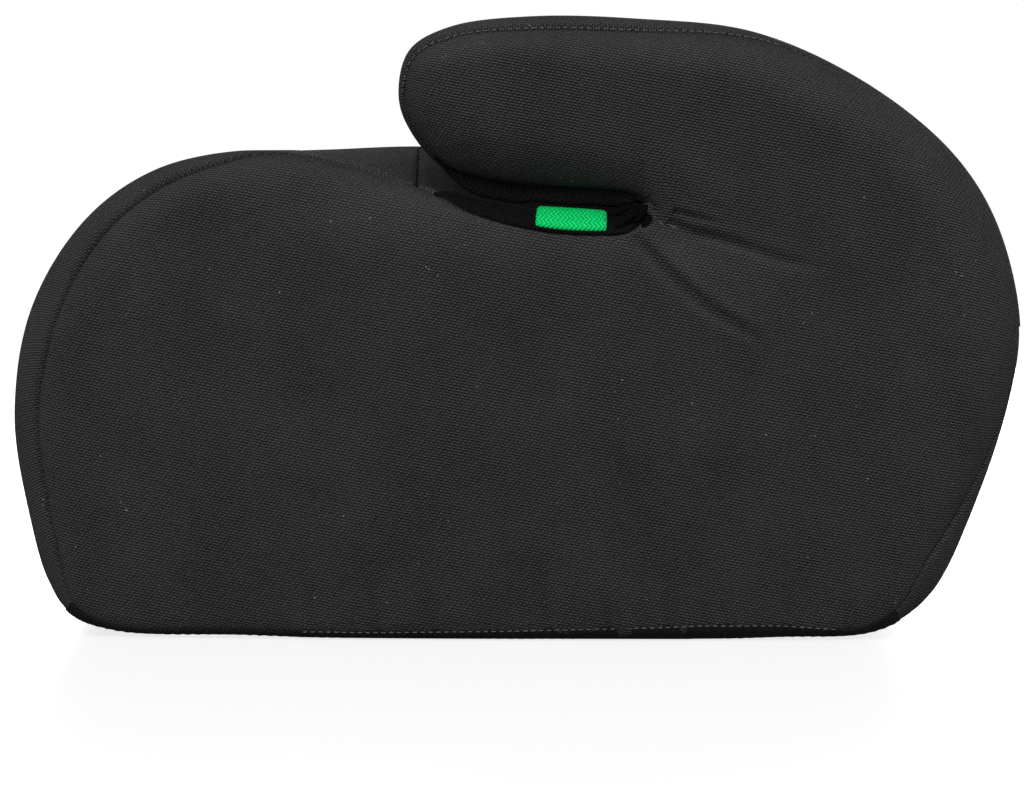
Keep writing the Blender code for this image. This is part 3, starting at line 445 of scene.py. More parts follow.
def relief(y, z):
    """How far the side's cloth stands out: folds at the slot's end, gathers at the hem, slight unevenness."""
    out = 0.00022 * np.sin(61 * y + 23 * z + 0.7) * np.sin(47 * z - 17 * y + 1.1)
    out += 0.00012 * np.sin(131 * y - 71 * z + 2.0) * np.sin(113 * z + 37 * y)
    for line, height, depth, width in CREASES:
        side, share = along_line(y, z, line)
        fade = smoothstep(0, 0.08, share) * (1 - smoothstep(0.6, 1.0, share))
        fade = np.where((share <= 0) | (share >= 1), 0, fade)
        out += height * fade * np.exp(-(((side - 1.7 * width) / (1.5 * width)) ** 2))
        out -= depth * fade * np.exp(-((side / width) ** 2))
    away, share = along_line(y, z, VALLEY)
    start = smoothstep(SLOT_END - 0.002, SLOT_END + 0.010, y)
    wide = np.where(away > VALLEY_FOLD_AT, VALLEY_FOLD_ABOVE, VALLEY_FOLD_BELOW)
    fade = start * (1 - smoothstep(0.35, 1.0, share)) * (1 - smoothstep(0.018, 0.036, abs(away)))
    out += VALLEY_FOLD * fade * np.exp(-(((away - VALLEY_FOLD_AT) / wide) ** 2))
    out -= VALLEY_DIP * fade * np.exp(-((away / VALLEY_W) ** 2))
    for at, strength in GATHERS:
        lean = at - 0.10 * (z - 0.005)
        fade = np.exp(-((np.clip(z - 0.008, 0, None) / 0.013) ** 2))
        fade = strength * fade * (0.25 + 0.75 * smoothstep(-0.006, 0.010, z))
        out -= GATHER_DIP * fade * np.exp(-(((y - lean) / GATHER_W) ** 2))
        for step, height in ((GATHER_STEP, 0.0010), (-GATHER_STEP, 0.0006)):
            out += height * fade * np.exp(-(((y - lean - step) / GATHER_FOLD_W) ** 2))
    return np.where(out < 0, CLOTH_SLACK * np.tanh(out / CLOTH_SLACK), out)


# ---------------------------------------------------------------- panels


def side_panel(skin, look):
    """The hook-shaped side: a ring round the edge down to the seam, and a filling of the face inside it."""
    sheet = Sheet()
    index = np.arange(skin.n)
    back = near_seam(skin.at_seam, coarse=0.0016)  # distance back from the seam
    far = skin.at_seam[:, None] - back
    i = np.repeat(index[:, None], far.shape[1], 1)
    rim = skin.yz - skin.normal * skin.edge[:, None]
    cloth = rim[:, None, :] + skin.normal[:, None, :] * far[..., None]
    above_hem = 0.2 + 0.8 * smoothstep(0.010, 0.030, skin.yz[:, 1])
    depth = tucked_under(back) * above_hem[:, None] - relief(cloth[..., 0], cloth[..., 1])
    points = skin.warp(skin.flat(i, far, depth))
    sheet.grid(points[:, ::-1], cloth[:, ::-1], closed=True)
    creased = ((SLOT_END - 0.004, 0.098), (0.132, SLOT_ROOF + 0.004), FINE_STEP)
    face_points, faces = filled(rim, CAP_STEP, creased)
    flat = np.concatenate([np.full((len(face_points), 1), SIDE), face_points], 1)
    flat[:, 0] += relief(face_points[:, 0], face_points[:, 1])
    sheet.add(skin.warp(flat), face_points, faces)
    return sheet.object("side_left_cloth", look)


def staggered(low, high, spacing):
    """Points of a triangular grid in a box."""
    rows = []
    for r, z in enumerate(np.arange(low[1] + spacing / 2, high[1], spacing * 0.866)):
        y = np.arange(low[0] + spacing / 2 * (r % 2), high[0], spacing)
        rows.append(np.stack([y, np.full(len(y), z)], 1))
    return np.concatenate(rows)


def inside_of(rim, points, clear):
    """Which points lie inside an outline and at least clear away from its corners."""
    a, b = rim, np.roll(rim, -1, 0)
    kept = []
    for part in np.array_split(points, max(1, len(points) // 2000)):
        crossing = (a[None, :, 1] > part[:, None, 1]) != (b[None, :, 1] > part[:, None, 1])
        with np.errstate(divide="ignore", invalid="ignore"):
            slope = ((b[:, 0] - a[:, 0]) / (b[:, 1] - a[:, 1]))[None]
            at = slope * (part[:, None, 1] - a[None, :, 1]) + a[None, :, 0]
            within = (np.sum(crossing & (part[:, None, 0] < at), 1) % 2) == 1
        near = np.min(np.hypot(part[:, None, 0] - rim[None, :, 0], part[:, None, 1] - rim[None, :, 1]), 1)
        kept.append(part[within & (near > clear)])
    return np.concatenate(kept)


def filled(rim, spacing, fine=None):
    """Points inside an outline, the outline's own first, and the triangles between them. fine is (low, high,
    spacing) of a box with closer points."""
    inside = staggered(rim.min(0), rim.max(0), spacing)
    if fine:
        low, high, close = fine
        out = np.any((inside < np.array(low) - spacing / 2) | (inside > np.array(high) + spacing / 2), 1)
        inside = np.concatenate([inside[out], staggered(low, high, close)])
    inside = inside_of(rim, inside, 0.55 * (fine[2] if fine else spacing))
    points = np.concatenate([rim, inside])
    edges = [(k, (k + 1) % len(rim)) for k in range(len(rim))]
    made = delaunay_2d_cdt([Vector(p) for p in points], edges, [list(range(len(rim)))], 1, 1e-9)
    points = np.array([tuple(v) for v in made[0]])
    faces = []
    for k in made[2]:
        p, q, r = points[k[0]], points[k[1]], points[k[2]]
        turn = (q[0] - p[0]) * (r[1] - p[1]) - (q[1] - p[1]) * (r[0] - p[0])
        faces.append(tuple(k) if turn > 0 else (k[0], k[2], k[1]))
    return points, faces


def strip(skin, rows, start, end, ends=(True, True), puff=0.0, coarse=0.0035):
    """(points, cloth) of a panel over outline rows, from a seam at start to end. ends says which of its first
    and last rows have a seam."""
    start, end = start[rows], end[rows]
    across = near_seam(end - start, coarse)
    run = lengths_along(skin.yz[rows])
    along = np.full(len(rows), 1.0)
    if ends[0]:
        along = np.minimum(along, run)
    if ends[1]:
        along = np.minimum(along, run[-1] - run)
    near = np.minimum(across, along[:, None])
    depth = turned_in(near) - puff * (1 - np.exp(-near / 0.012))
    return skin.laid(rows, start[:, None] + across, depth, run)


def whole(points, cloth):
    """A half panel that runs to the middle, and its mirror image."""
    other = points.copy()
    other[..., 0] *= -1
    cloth2 = cloth.copy()
    wide = cloth[..., 0].max()
    cloth2[..., 0] = 2 * wide - cloth[..., 0]
    points = np.concatenate([points, other[:, ::-1][:, 1:]], 1)
    return points, np.concatenate([cloth, cloth2[:, ::-1][:, 1:]], 1)


def row_range(skin, first, last):
    count = (last - first) % skin.n
    return (np.arange(count + 1) + first) % skin.n


def front_panel(skin, look):
    """From the hem up over the nose to the seam across the seat, and out to the side seams."""
    sheet = Sheet()
    rows = row_range(skin, skin.at("nose", 0), seam_row(skin))
    sheet.grid(*whole(*strip(skin, rows, skin.at_seam, skin.middle, (False, True))))
    return sheet.object("front_cloth", look)


def back_row(curve):
    """Where the seat's panel gives way to the rear one."""
    return int(np.argmax(curve[:, 0] > SEAT_BACK - 0.004))


def seat_rows(skin):
    """(points, outward directions) of the seat behind the slots, beside the arms."""
    line = skin.edge_line
    fine = np.arange(line[0, 0], line[-1, 0], STEP)
    z = np.interp(fine, line[:, 0], line[:, 1])
    curve = np.stack([fine, z], 1)
    curve = np.concatenate([curve, line[-1:]])
    return curve, normals_of(curve, False)


def seat_panel(skin, look):
    """The seat: in front between the side seams, and behind the slots between the arms."""
    sheet = Sheet()
    first = seam_row(skin)
    rows = row_range(skin, first, skin.slot_end)
    start = np.maximum(skin.at_seam, 0)
    sheet.grid(*whole(*strip(skin, rows, start, skin.middle, (True, False))))
    curve, normal = seat_rows(skin)
    last = back_row(curve)
    x = np.linspace(ARM_INNER, 0, SEAT_COLUMNS)
    sheet.grid(*whole(*seat_block(skin, curve, normal, 0, last, x, (False, True))))
    return sheet.object("seat_cloth", look)


def seat_block(skin, curve, normal, low, high, x, ends):
    """(points, cloth) of the seat between the arms. ends says which of its end rows have a seam."""
    part, out = curve[low : high + 1], normal[low : high + 1]
    run = lengths_along(part)
    near = np.full(len(part), 1.0)
    if ends[0]:
        near = np.minimum(near, run)
    if ends[1]:
        near = np.minimum(near, run[-1] - run)
    depth = turned_in(near)[:, None] + 0 * x[None]
    y = part[:, 0][:, None] - out[:, 0][:, None] * depth
    z = skin.seat_height(part[:, 0][:, None], part[:, 1][:, None], ARM_INNER - x[None])
    z = z - out[:, 1][:, None] * depth
    points = np.stack([np.repeat(x[None], len(part), 0), y, z], -1)
    cloth = np.stack([0.2 - points[..., 0], np.repeat(run[:, None], len(x), 1)], -1)
    return skin.warp(points), cloth


def seam_row(skin):
    """The outline row of the seam across the seat."""
    low = skin.at("ridge", 0)
    return low + int(np.argmax(skin.yz[low : skin.slot_end, 0] >= SEAT_SEAM))


def rear_panel(skin, look):
    """From the back of the seat down to the hem, and out to the side seams below the arms."""
    sheet = Sheet()
    curve, normal = seat_rows(skin)
    last = back_row(curve)
    x = np.linspace(ARM_INNER, 0, SEAT_COLUMNS)
    sheet.grid(*whole(*seat_block(skin, curve, normal, last, len(curve) - 1, x, (True, False))))
    rows = row_range(skin, skin.rear_join, skin.at("rear", 5))
    sheet.grid(*whole(*strip(skin, rows, skin.at_seam, skin.middle, (False, False))))
    return sheet.object("rear_cloth", look)


def arm_panel(skin, look):
    """Over the top of the arm, round its tip and under it, and the flat face inside it."""
    sheet = Sheet()
    rows = row_range(skin, skin.slot_end, skin.rear_join)
    end = skin.end + skin.inner * math.pi / 2
    sheet.grid(*strip(skin, rows, skin.at_seam, end, (False, False), ARM_PUFF, coarse=0.0028))
    # the inner face, filled between the strip's inner edge and the seat
    curve, _ = seat_rows(skin)
    inner = skin.yz[rows] - skin.normal[rows] * skin.inner[rows][:, None]
    rim = np.concatenate([inner, curve[::-1][1:-1]])
    face_points, faces = filled(rim, ARM_CAP_STEP)
    flat = np.concatenate([np.full((len(face_points), 1), ARM_INNER), face_points], 1)
    faces = [(a, c, b) for a, b, c in faces]
    sheet.add(skin.warp(flat), face_points, faces)
    return sheet.object("arm_left_cloth", look)


def binding(skin, look):
    """The tape folded over the edge of the belt slot."""
    sheet = Sheet()
    rows = row_range(skin, skin.at("ridge", 2) + 6, skin.at("arm", 0) - 2)
    start, end = skin.at_seam[rows] - 0.0004, skin.quarter[rows] + 0.007
    share = np.array([0, 0.02, 0.05, 0.12, 0.22, 0.34, 0.46, 0.58, 0.7, 0.82, 0.92, 0.97, 1.0])
    far = start[:, None] + (end - start)[:, None] * share
    tuck = np.minimum(share, 1 - share)
    depth = 0.0006 - 0.0016 * np.sqrt(np.clip(tuck / 0.08, 0, 1))[None]
    along = np.minimum(np.arange(len(rows)), np.arange(len(rows))[::-1]) * STEP
    depth = depth + 0.0016 * (1 - smoothstep(0, 0.004, along))[:, None]
    sheet.grid(*skin.laid(rows, far, depth, np.arange(len(rows)) * STEP))
    return sheet.object("slot_binding_left_tape", look)


def lining(skin, look):
    """The soft tape under the arm. It hangs down to just above the binding."""
    sheet = Sheet()
    rows = row_range(skin, skin.at("arm", 0) + 1, skin.at("arm", 4) + 4)
    ridge = skin.yz[skin.at("ridge", 0) : skin.slot_end]
    room = skin.yz[rows, 1] - np.interp(skin.yz[rows, 0], ridge[:, 0], ridge[:, 1])
    share = np.array([0, 0.02, 0.06, 0.12, 0.2, 0.3, 0.42, 0.55, 0.68, 0.8, 0.9, 0.97, 1.0])
    start, end = skin.at_seam[rows] - 0.0010, skin.end[rows] - 0.002
    far = start[:, None] + np.maximum(end - start, 0.004)[:, None] * share
    from_end = np.arange(len(rows)) * STEP
    past_marker = smoothstep(MARKER_START, MARKER_START - 0.006, skin.yz[rows, 0])
    hang = np.clip(room - LINING_CLEAR + 0.0016 * past_marker, 0.0008, 0.0095)
    hang = hang * smoothstep(-0.002, 0.004, from_end) * smoothstep(0, 0.024, from_end[::-1])
    fall = np.sin(np.pi * np.clip(share, 0, 1) ** 0.42) ** 0.55
    depth = 0.0006 - (hang + 0.0008)[:, None] * fall[None]
    sheet.grid(*skin.laid(rows, far, depth, from_end))
    return sheet.object("slot_lining_left_tape", look)


def bead(along, round_it):
    """Points and faces of a small round-ended bar of length 2 and radius 1 along X."""
    turns = np.arange(round_it) * 2 * math.pi / round_it
    points, faces = [(-1.0, 0.0, 0.0)], []
    places = -np.cos(np.pi * np.arange(1, along) / along)
    for place in places:
        wide = (1 - abs(place) ** 3) ** 0.5
        points += [(place, wide * math.cos(t), wide * math.sin(t)) for t in turns]
    points.append((1.0, 0.0, 0.0))
    last = len(points) - 1
    for k in range(round_it):
        after = (k + 1) % round_it
        faces.append((0, 1 + after, 1 + k))
        for ring in range(len(places) - 1):
            a, b = 1 + ring * round_it, 1 + (ring + 1) * round_it
            faces.append((a + k, a + after, b + after, b + k))
        start = 1 + (len(places) - 1) * round_it
        faces.append((start + k, start + after, last))
    return np.array(points), faces


def bars(name, ends, look, along=4, round_it=6):
    """One mesh of round-ended bars, from a list of (start, end, radius)."""
    sheet = Sheet()
    shape, faces = bead(along, round_it)
    for start, end, radius in ends:
        forward = (end - start) / 2
        size = np.linalg.norm(forward)
        side = np.cross(forward / size, (1.0, 0.0, 0.0))
        side /= max(np.linalg.norm(side), 1e-6)
        up = np.cross(side, forward / size)
        points = (start + end) / 2 + shape[:, :1] * forward
        points = points + radius * (shape[:, 1:2] * side + shape[:, 2:] * up)
        sheet.add(points, shape[:, :2] * size, faces)
    return sheet.object(name, look, merge=1e-7)


def sewn(skin, name, rows, far, depth, radius, look):
    """A line of stitches along outline rows, with a distance across for each row."""
    path = skin.warp(skin.flat(rows, far, np.full(len(rows), depth)))
    run = lengths_along(path)
    starts = np.arange(0, run[-1] - STITCH, STITCH + STITCH_GAP)

    def at(place):
        return np.stack([np.interp(place, run, path[:, c]) for c in range(3)], -1)

    return bars(name, [(a, b, radius) for a, b in zip(at(starts), at(starts + STITCH))], look)


def arm_stitches(skin, look):
    """Along the arm's seam, over its top and round its tip."""
    rows = row_range(skin, skin.at("arm", 6), skin.at("arm", 11) + 8)
    return sewn(skin, "arm_left_stitches", rows, skin.at_seam[rows] - 0.0016, 0.00022, THREAD_R, look)


def hem_stitches(skin, look):
    """Along the top of the elastic hem."""
    rows = row_range(skin, skin.at("rear", 5) + 12, skin.at("nose", 0) - 60)
    return sewn(skin, "hem_left_stitches", rows, hem_start(skin, rows) + 0.0005, -0.0005, HEM_THREAD_R, look)


def slot_piping(skin, look):
    """A painted highlight along the folded upper edge of the binding, from the seat to the marker: a thin
    bead in the lighter elastic's colour.
    """
    y = skin.yz[:, 0]
    rows = range(skin.at("ridge", 2) + 10, skin.slot_end)
    rows = np.array([k for k in rows if y[k] < MARKER_START + 0.001])
    far = skin.quarter[rows] - 0.001
    path = skin.warp(skin.flat(rows, far, np.full(len(rows), -0.0010)))
    ends = [(a, b + (b - a) * 0.3, SLOT_HIGHLIGHT_R) for a, b in zip(path, path[1:])]
    return bars("slot_piping_left_tape", ends, look, along=3)


def slot_tuck(pieces, look):
    """Where the bindings are pinched together at the slot's end: a few short folds of tape."""
    folds = [  # (points of the two ends, radius)
        (from_slot((-12.3, -4.9), (-3.7, 2.7)), 0.0013),
        (from_slot((-3.7, -1.7), (0.1, 4.7)), 0.0014),
        (from_slot((-9.5, -3.0), (-1.1, 0.2)), 0.0011),
        (from_slot((-14.5, 0.1), (-5.5, 4.3)), 0.0012),
        (from_slot((-1.7, -4.5), (1.7, 0.7)), 0.0012),
    ]
    ends = []
    for (first, last), radius in folds:
        x = max(outermost(pieces, *first), outermost(pieces, *last)) - 0.5 * radius
        ends.append((np.array((x, *first)), np.array((x, *last)), radius))
    return bars("slot_tuck_left_tape", ends, look, along=8, round_it=10)


def outermost(pieces, y, z):
    """X of the outermost surface at a place on the left side."""
    bpy.context.view_layer.update()
    found = ARM_INNER
    for piece in pieces:
        hit, place, _, _ = piece.ray_cast((SIDE + 0.05, y, z), (-1, 0, 0))
        if hit:
            found = max(found, place[0])
    return found


def marker(skin, look):
    """The green sleeve round the binding."""
    sheet = Sheet()
    y = skin.yz[:, 0]
    first, last = MARKER_START - MARKER_OVERLAP, MARKER_START + MARKER_LENGTH + MARKER_OVERLAP
    rows = np.array([k for k in range(skin.at("ridge", 3), skin.slot_end) if first <= y[k] <= last])
    start, end = skin.at_seam[rows] + 0.0006, skin.quarter[rows] + 0.0085
    share = np.array([0, 0.015, 0.04, 0.1, 0.2, 0.32, 0.44, 0.56, 0.68, 0.8, 0.9, 0.96, 1.0])
    far = start[:, None] + (end - start)[:, None] * share
    tuck = np.minimum(share, 1 - share)
    depth = 0.0006 - 0.0031 * np.sqrt(np.clip(tuck / 0.05, 0, 1))[None]
    along = np.linspace(-1, 1, len(rows))
    depth = depth + 0.0004 * (along**2)[:, None] + np.where(np.abs(along) > 0.97, 0.0015, 0.0)[:, None]
    points, cloth = skin.laid(rows, far, depth, skin.run[rows] - skin.run[rows[0]])
    cloth[..., 0] -= start[:, None]
    sheet.grid(points, cloth)
    return sheet.object("belt_marker_left_sleeve", look)


def hem_start(skin, rows):
    """How far down the hem's upper edge lies. The tape shows most towards the rear."""
    places = [-0.10, -0.075, -0.006, 0.070, 0.100, 0.132]
    height = np.interp(skin.yz[rows, 0], places, [0.0018, 0.0030, 0.0040, 0.0058, 0.0050, 0.0026])
    edge = skin.edge[rows]
    turn = np.arccos(np.clip(1 - height / edge, -1, 1))
    y = skin.yz[rows, 0]
    shown = smoothstep(-0.110, -0.080, y) * (1 - smoothstep(0.135, 0.160, y))
    return np.minimum(edge * (math.pi / 2 - turn), skin.at_seam[rows] - 0.0004 - 0.0010 * shown)


def hem(skin, look):
    """The elastic tape round the bottom edge, gathered in fine puckers."""
    sheet = Sheet()
    first, last = skin.at("rear", 4) + 2, skin.at("nose", 1) + 2
    rows = row_range(skin, first, last)
    start = hem_start(skin, rows)
    end = skin.quarter[rows] + HEM_TURN_UNDER
    share = np.array([0, 0.015, 0.05, 0.12, 0.2, 0.28, 0.36, 0.44, 0.55, 0.7, 0.85, 0.97, 1.0])
    far = start[:, None] + (end - start)[:, None] * share
    run = lengths_along(skin.yz[rows])
    tuck = np.minimum(share, 1 - share)
    depth = 0.0008 - 0.0012 * np.sqrt(np.clip(tuck / 0.05, 0, 1))[None]
    pucker = np.sin(run * 1570) * (0.6 + 0.4 * np.sin(run * 211))
    depth = depth + 0.00022 * pucker[:, None] * (1 - share)[None]
    i = np.repeat(rows[:, None], len(share), 1)
    flat = skin.flat(i, far, depth)
    flat[..., 2] = np.maximum(flat[..., 2], FLOOR_GAP)
    points = skin.warp(flat)
    cloth = np.stack([far, np.repeat(run[:, None], len(share), 1)], -1)
    sheet.grid(points, cloth)
    for low, high in ((first, skin.at("rear", 5) + 6), (skin.at("nose", 0) - 6, last)):
        rows = row_range(skin, low, high)
        sheet.grid(*strip(skin, rows, skin.at_seam, skin.middle, puff=HEM_PUFF))
    return sheet.object("hem_left_elastic", look)


# ---------------------------------------------------------------- materials


class Nodes:
    """A short way to write a node tree."""

    def __init__(self, name):
        self.material = bpy.data.materials.new(name)
        self.material.use_nodes = True
        self.tree = self.material.node_tree
        self.shader = self.tree.nodes["Principled BSDF"]

    def node(self, kind, **values):
        made = self.tree.nodes.new(kind)
        for key, value in values.items():
            setattr(made, key, value)
        return made

    def put(self, value, socket):
        if isinstance(value, bpy.types.NodeSocket):
            self.tree.links.new(value, socket)
        else:
            socket.default_value = value

    def math(self, operation, a, b=0.0):
        made = self.node("ShaderNodeMath", operation=operation)
        self.put(a, made.inputs[0])
        self.put(b, made.inputs[1])
        return made.outputs[0]

    def mix(self, share, a, b):
        made = self.node("ShaderNodeMix", data_type="RGBA")
        self.put(share, made.inputs[0])
        self.put(a, made.inputs[6])
        self.put(b, made.inputs[7])
        return made.outputs[2]

    def place(self):
        return self.node("ShaderNodeTexCoord").outputs["Object"]

    def cloth_place(self):
        """(across, along) the cloth, in metres."""
        split = self.node("ShaderNodeSeparateXYZ")
        self.put(self.node("ShaderNodeUVMap", uv_map="Cloth").outputs[0], split.inputs[0])
        return split.outputs[0], split.outputs[1]

    def paint(self, colour):
        self.put(colour, self.shader.inputs["Base Color"])

    def plain(self, roughness, specular):
        self.shader.inputs["Roughness"].default_value = roughness
        self.shader.inputs["Specular IOR Level"].default_value = specular

    def wave(self, at, pitch, kind="SINE"):
        """A wave of the given pitch, from -1 to 1."""
        return self.math(kind, self.math("MULTIPLY", at, 2 * math.pi / pitch))

    def noise(self, scale, detail):
        made = self.node("ShaderNodeTexNoise")
        made.inputs["Scale"].default_value = scale
        made.inputs["Detail"].default_value = detail
        self.put(self.place(), made.inputs["Vector"])
        return made.outputs[0]

    def ramp(self, at, low, high, to=(0.0, 1.0)):
        made = self.node("ShaderNodeMapRange")
        self.put(at, made.inputs[0])
        for socket, value in zip(list(made.inputs)[1:5], (low, high, *to)):
            socket.default_value = value
        return made.outputs[0]

    def uneven(self, scale, detail, size):
        """Noise of a size, either way from none."""
        return self.math("MULTIPLY", self.math("SUBTRACT", self.noise(scale, detail), 0.5), size)

    def bump(self, height, distance, strength=1.0):
        made = self.node("ShaderNodeBump")
        made.inputs["Distance"].default_value = distance
        made.inputs["Strength"].default_value = strength
        self.put(height, made.inputs["Height"])
        self.tree.links.new(made.outputs[0], self.shader.inputs["Normal"])


def cloth_material(name, dark, light, pitch, ribs, sheen=0.0, lint=False):
    """Coarse woven cloth: uneven rows of short raised yarns, staggered like bricks, with a few specks of pale
    lint. ribs is how much the rows stand out low down and high up."""
    made = Nodes(name)
    u, v = made.cloth_place()
    wander = made.uneven(330, 2.0, pitch * 0.9)
    u = made.math("ADD", made.math("ADD", u, wander), made.uneven(24, 1.0, pitch * 2.4))
    v = made.math("ADD", v, made.math("MULTIPLY", wander, -0.4))
    v = made.math("ADD", v, made.math("MULTIPLY", u, 0.20))
    row = pitch * 0.66
    yarn = made.math("MULTIPLY", made.wave(u, pitch), made.wave(v, 2 * row, "COSINE"))
    rib = made.wave(v, row, "COSINE")
    place = made.node("ShaderNodeSeparateXYZ")
    made.put(made.place(), place.inputs[0])
    weight = made.ramp(place.outputs[2], SLOT_FLOOR - 0.01, SLOT_ROOF + 0.02, ribs)
    height = made.math("ADD", made.math("MULTIPLY", rib, weight), made.math("MULTIPLY", yarn, 0.8))
    height = made.math("ADD", height, made.uneven(1900, 3.0, 1.9))
    made.bump(height, 0.0006)
    share = made.math("ADD", made.ramp(height, -1.2, 1.3), made.uneven(38, 3.0, 0.35))
    colour = made.mix(share, (*dark, 1), (*light, 1))
    if lint:
        specks = made.node("ShaderNodeTexVoronoi")
        specks.inputs["Scale"].default_value = 330
        made.put(made.place(), specks.inputs["Vector"])
        near = made.math("LESS_THAN", specks.outputs["Distance"], 0.11)
        some = made.math("GREATER_THAN", made.noise(95, 1.0), 0.66)
        colour = made.mix(made.math("MULTIPLY", made.math("MULTIPLY", near, some), 0.5), colour, LINT)
    made.paint(colour)
    made.shader.inputs["Sheen Weight"].default_value = sheen
    made.shader.inputs["Sheen Roughness"].default_value = 0.5
    made.plain(0.95, 0.02)
    return made.material


def green_material():
    """Bright green webbing in a herringbone weave."""
    made = Nodes("green_webbing")
    u, v = made.cloth_place()
    zigzag = made.math("ABSOLUTE", made.math("SUBTRACT", made.math("PINGPONG", u, 0.0026), 0.0013))
    height = made.wave(made.math("ADD", v, made.math("MULTIPLY", zigzag, 1.2)), 0.0017)
    height = made.math("ADD", height, made.math("MULTIPLY", made.noise(1500, 2.0), 0.6))
    made.bump(height, 0.00025, 0.8)
    colour = made.mix(made.ramp(height, -0.9, 1.5), (0.002, 0.28, 0.065, 1), (0.006, 0.68, 0.160, 1))
    made.paint(colour)
    made.plain(0.75, 0.05)
    return made.material


def thread_material():
    """Grey sewing thread."""
    made = Nodes("grey_thread")
    colour = made.mix(made.noise(2600, 2.0), (0.05, 0.05, 0.051, 1), (0.15, 0.15, 0.152, 1))
    made.paint(colour)
    made.plain(0.8, 0.1)
    return made.material


def foam_material(name, low, high, scale):
    """Expanded foam: fused beads."""
    made = Nodes(name)
    beads = made.node("ShaderNodeTexVoronoi", feature="F1")
    beads.inputs["Scale"].default_value = scale
    made.put(made.place(), beads.inputs["Vector"])
    height = made.math("SUBTRACT", 1.0, beads.outputs["Distance"])
    made.bump(height, 0.0004, 0.7)
    made.put(made.mix(made.ramp(height, 0.3, 1.0), (*low, 1), (*high, 1)), made.shader.inputs["Base Color"])
    made.shader.inputs["Roughness"].default_value = 0.8
    return made.material


def steel_material():
    made = Nodes("drawn_steel")
    scratches = made.noise(900, 4.0)
    colour = made.mix(made.ramp(scratches, 0.3, 0.7), (0.35, 0.36, 0.37, 1), (0.55, 0.56, 0.57, 1))
    made.paint(colour)
    made.put(made.ramp(scratches, -0.4, 1.6), made.shader.inputs["Roughness"])
    made.shader.inputs["Metallic"].default_value = 1.0
    made.bump(scratches, 0.0001, 0.4)
    return made.material


def plastic_material():
    made = Nodes("black_plastic")
    grain = made.noise(1400, 3.0)
    colour = made.mix(grain, (0.020, 0.020, 0.020, 1), (0.034, 0.034, 0.035, 1))
    made.paint(colour)
    made.bump(grain, 0.0001, 0.5)
    made.shader.inputs["Roughness"].default_value = 0.5
    return made.material


# ---------------------------------------------------------------- studio


def studio():
    scene = bpy.context.scene
    scene.view_settings.view_transform = "Standard"
    world = bpy.data.worlds.new("studio")
    scene.world = world
    world.use_nodes = True
    backdrop(world.node_tree)
    mesh = bpy.data.meshes.new("floor")
    mesh.from_pydata([(-9, -9, 0), (9, -9, 0), (9, 9, 0), (-9, 9, 0)], [], [(0, 1, 2, 3)])
    floor = bpy.data.objects.new("floor", mesh)
    scene.collection.objects.link(floor)
    floor.location.z = -0.0004
    floor.visible_diffuse = False
    look = Nodes("floor")
    look.shader.inputs["Base Color"].default_value = (0.22, 0.22, 0.22, 1)
    look.plain(0.35, 0.3)
    look.shader.inputs["Emission Color"].default_value = (1, 1, 1, 1)
    look.shader.inputs["Emission Strength"].default_value = 0.79
    mesh.materials.append(look.material)
    lamp("key", (2.3, -0.3, 1.55), 2.0, 66)
    lamp("front", (0.8, -2.4, 0.9), 1.4, 5)
    lamp("far_side", (-2.6, 0.3, 0.6), 1.6, 26)
    lamp("back", (0.8, 2.4, 0.9), 1.4, 16)


# (height, strength)
BACKDROP = [(0.0, 0.12), (0.38, 0.12), (0.46, 1.0), (0.56, 1.0), (0.68, 0.30), (1.0, 0.30)]


def backdrop(tree):
    """A white studio, dimmer overhead and dark below."""
    coord = tree.nodes.new("ShaderNodeTexCoord")
    split = tree.nodes.new("ShaderNodeSeparateXYZ")
    level = tree.nodes.new("ShaderNodeFloatCurve")
    points = level.mapping.curves[0].points
    points[0].location, points[1].location = BACKDROP[0], BACKDROP[-1]
    for height, strength in BACKDROP[1:-1]:
        points.new(height, strength)
    level.mapping.update()
    share = tree.nodes.new("ShaderNodeMapRange")
    share.inputs["From Min"].default_value = -1.0
    tree.links.new(coord.outputs["Generated"], split.inputs[0])
    tree.links.new(split.outputs[2], share.inputs["Value"])
    tree.links.new(share.outputs[0], level.inputs["Value"])
    tree.links.new(level.outputs[0], tree.nodes["Background"].inputs["Strength"])
    tree.nodes["Background"].inputs["Color"].default_value = (1, 1, 1, 1)


def lamp(name, at, size, power):
    """A round lamp, aimed near the middle of the seat."""
    data = bpy.data.lights.new(name, "AREA")
    data.shape = "DISK"
    data.size = size
    data.energy = power
    made = placed(name, data)
    made.location = at
    made.rotation_euler = (Vector((0, 0, 0.1)) - Vector(at)).to_track_quat("-Z", "Y").to_euler()


CAMERA_AT, CAMERA_TARGET, VIEW_WIDTH = (2.50, -0.0015, 0.186), (0.19, -0.0015, 0.0906), 0.3885


def camera():
    data = bpy.data.cameras.new("camera")
    made = placed("camera", data)
    made.location = CAMERA_AT
    target = Vector(CAMERA_TARGET)
    made.rotation_euler = (target - made.location).to_track_quat("-Z", "Y").to_euler()
    data.sensor_width = 36
    data.lens = 36 * (target - made.location).length / VIEW_WIDTH
    data.clip_end = 50
    bpy.context.scene.camera = made


# ---------------------------------------------------------------- the object


def both_sides(left, name, nodes):
    """Gives a left piece its mirror image, and says what both stand for."""
    right = mirrored(left, name)
    for piece, hand in ((left, "left"), (right, "right")):
        told(piece, [node.format(hand) for node in nodes])


def told(piece, nodes):
    """Says what a piece rides on and which nodes it stands for."""
    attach(piece, "root")
    if nodes:
        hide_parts(*nodes)


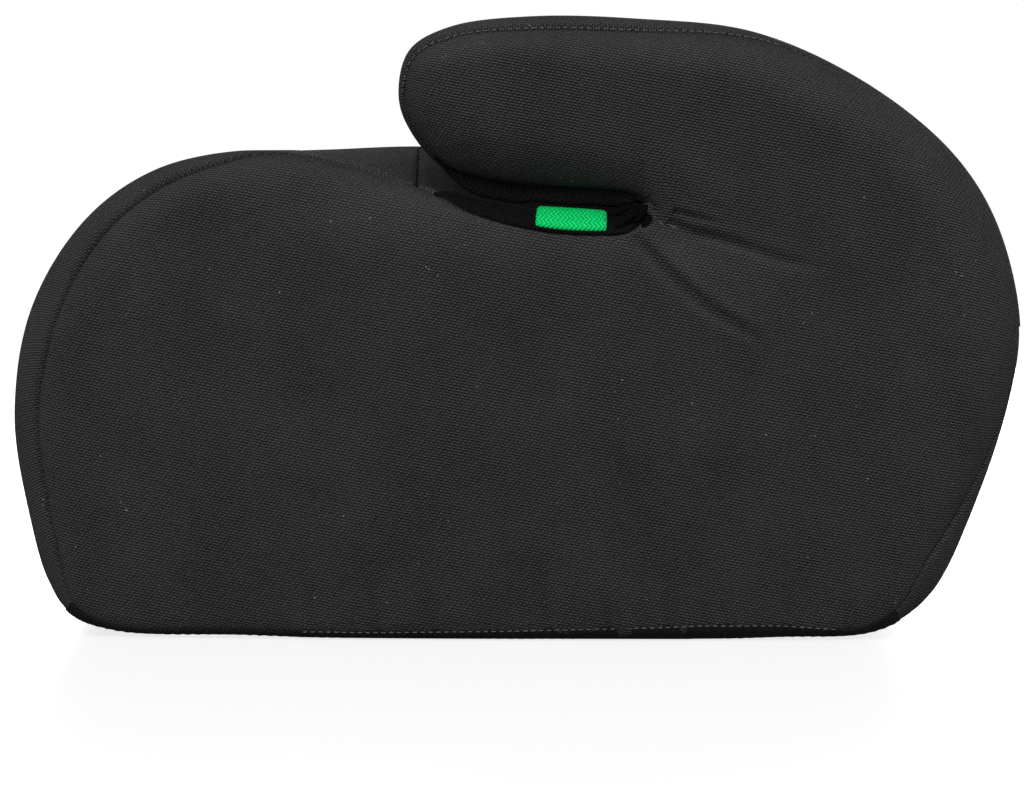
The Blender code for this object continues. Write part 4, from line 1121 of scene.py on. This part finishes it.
def main():
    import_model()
    frame_nodes = {o.name: o for o in bpy.data.objects if o.type == "MESH"}
    camera()
    studio()
    skin = Skin()
    dark, light = (0.0036, 0.0037, 0.0037), (0.068, 0.0685, 0.0685)
    cloth = cloth_material("black_cloth", dark, light, 0.00165, (0.65, 0.72), 0.052, True)
    ribbed = cloth_material("black_cloth_arm", dark, light, 0.00165, (0.72, 0.72), 0.052, True)
    deep, black = (0.003, 0.003, 0.0031), (0.005, 0.005, 0.0052)
    tape = cloth_material("black_tape", deep, (0.012, 0.012, 0.0123), 0.0016, (0.5, 0.5))
    soft = cloth_material("black_lining", black, (0.024, 0.024, 0.0245), 0.0014, (0.4, 0.4))
    elastic = cloth_material("black_elastic", black, (0.036, 0.036, 0.037), 0.0012, (0.8, 0.8))
    thread = thread_material()
    green = green_material()
    side = side_panel(skin, cloth)
    both_sides(side, "side_right_cloth", ["cover_side_{}"])
    arm = arm_panel(skin, ribbed)
    both_sides(arm, "arm_right_cloth", ["cover_arm_{}", "arm_pad_{}"])
    told(front_panel(skin, cloth), ["cover_front"])
    told(seat_panel(skin, cloth), ["cover_seat", "seat_pad"])
    told(rear_panel(skin, cloth), ["cover_rear"])
    bound, lined = binding(skin, tape), lining(skin, soft)
    both_sides(bound, "slot_binding_right_tape", ["slot_binding_{}"])
    both_sides(lined, "slot_lining_right_tape", ["slot_lining_{}"])
    both_sides(slot_tuck([side, bound, lined], tape), "slot_tuck_right_tape", [])
    # a painted highlight: a bead in the lighter elastic's colour along each binding's upper edge
    both_sides(slot_piping(skin, elastic), "slot_piping_right_tape", [])
    both_sides(arm_stitches(skin, thread), "arm_right_stitches", [])
    both_sides(hem_stitches(skin, thread), "hem_right_stitches", [])
    both_sides(marker(skin, green), "belt_marker_right_sleeve", ["belt_marker_{}"])
    both_sides(hem(skin, elastic), "hem_right_elastic", [])
    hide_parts("hem_elastic")
    looks = {
        "foam_body": foam_material("bead_foam", (0.018, 0.018, 0.019), (0.05, 0.05, 0.052), 260),
        "steel_rod": steel_material(),
        "rod_cap": plastic_material(),
    }
    looks["belt_guide"] = looks["rod_cap"]
    for name, node in frame_nodes.items():
        for start, look in looks.items():
            if name.startswith(start):
                node.data.materials.clear()
                node.data.materials.append(look)


main()
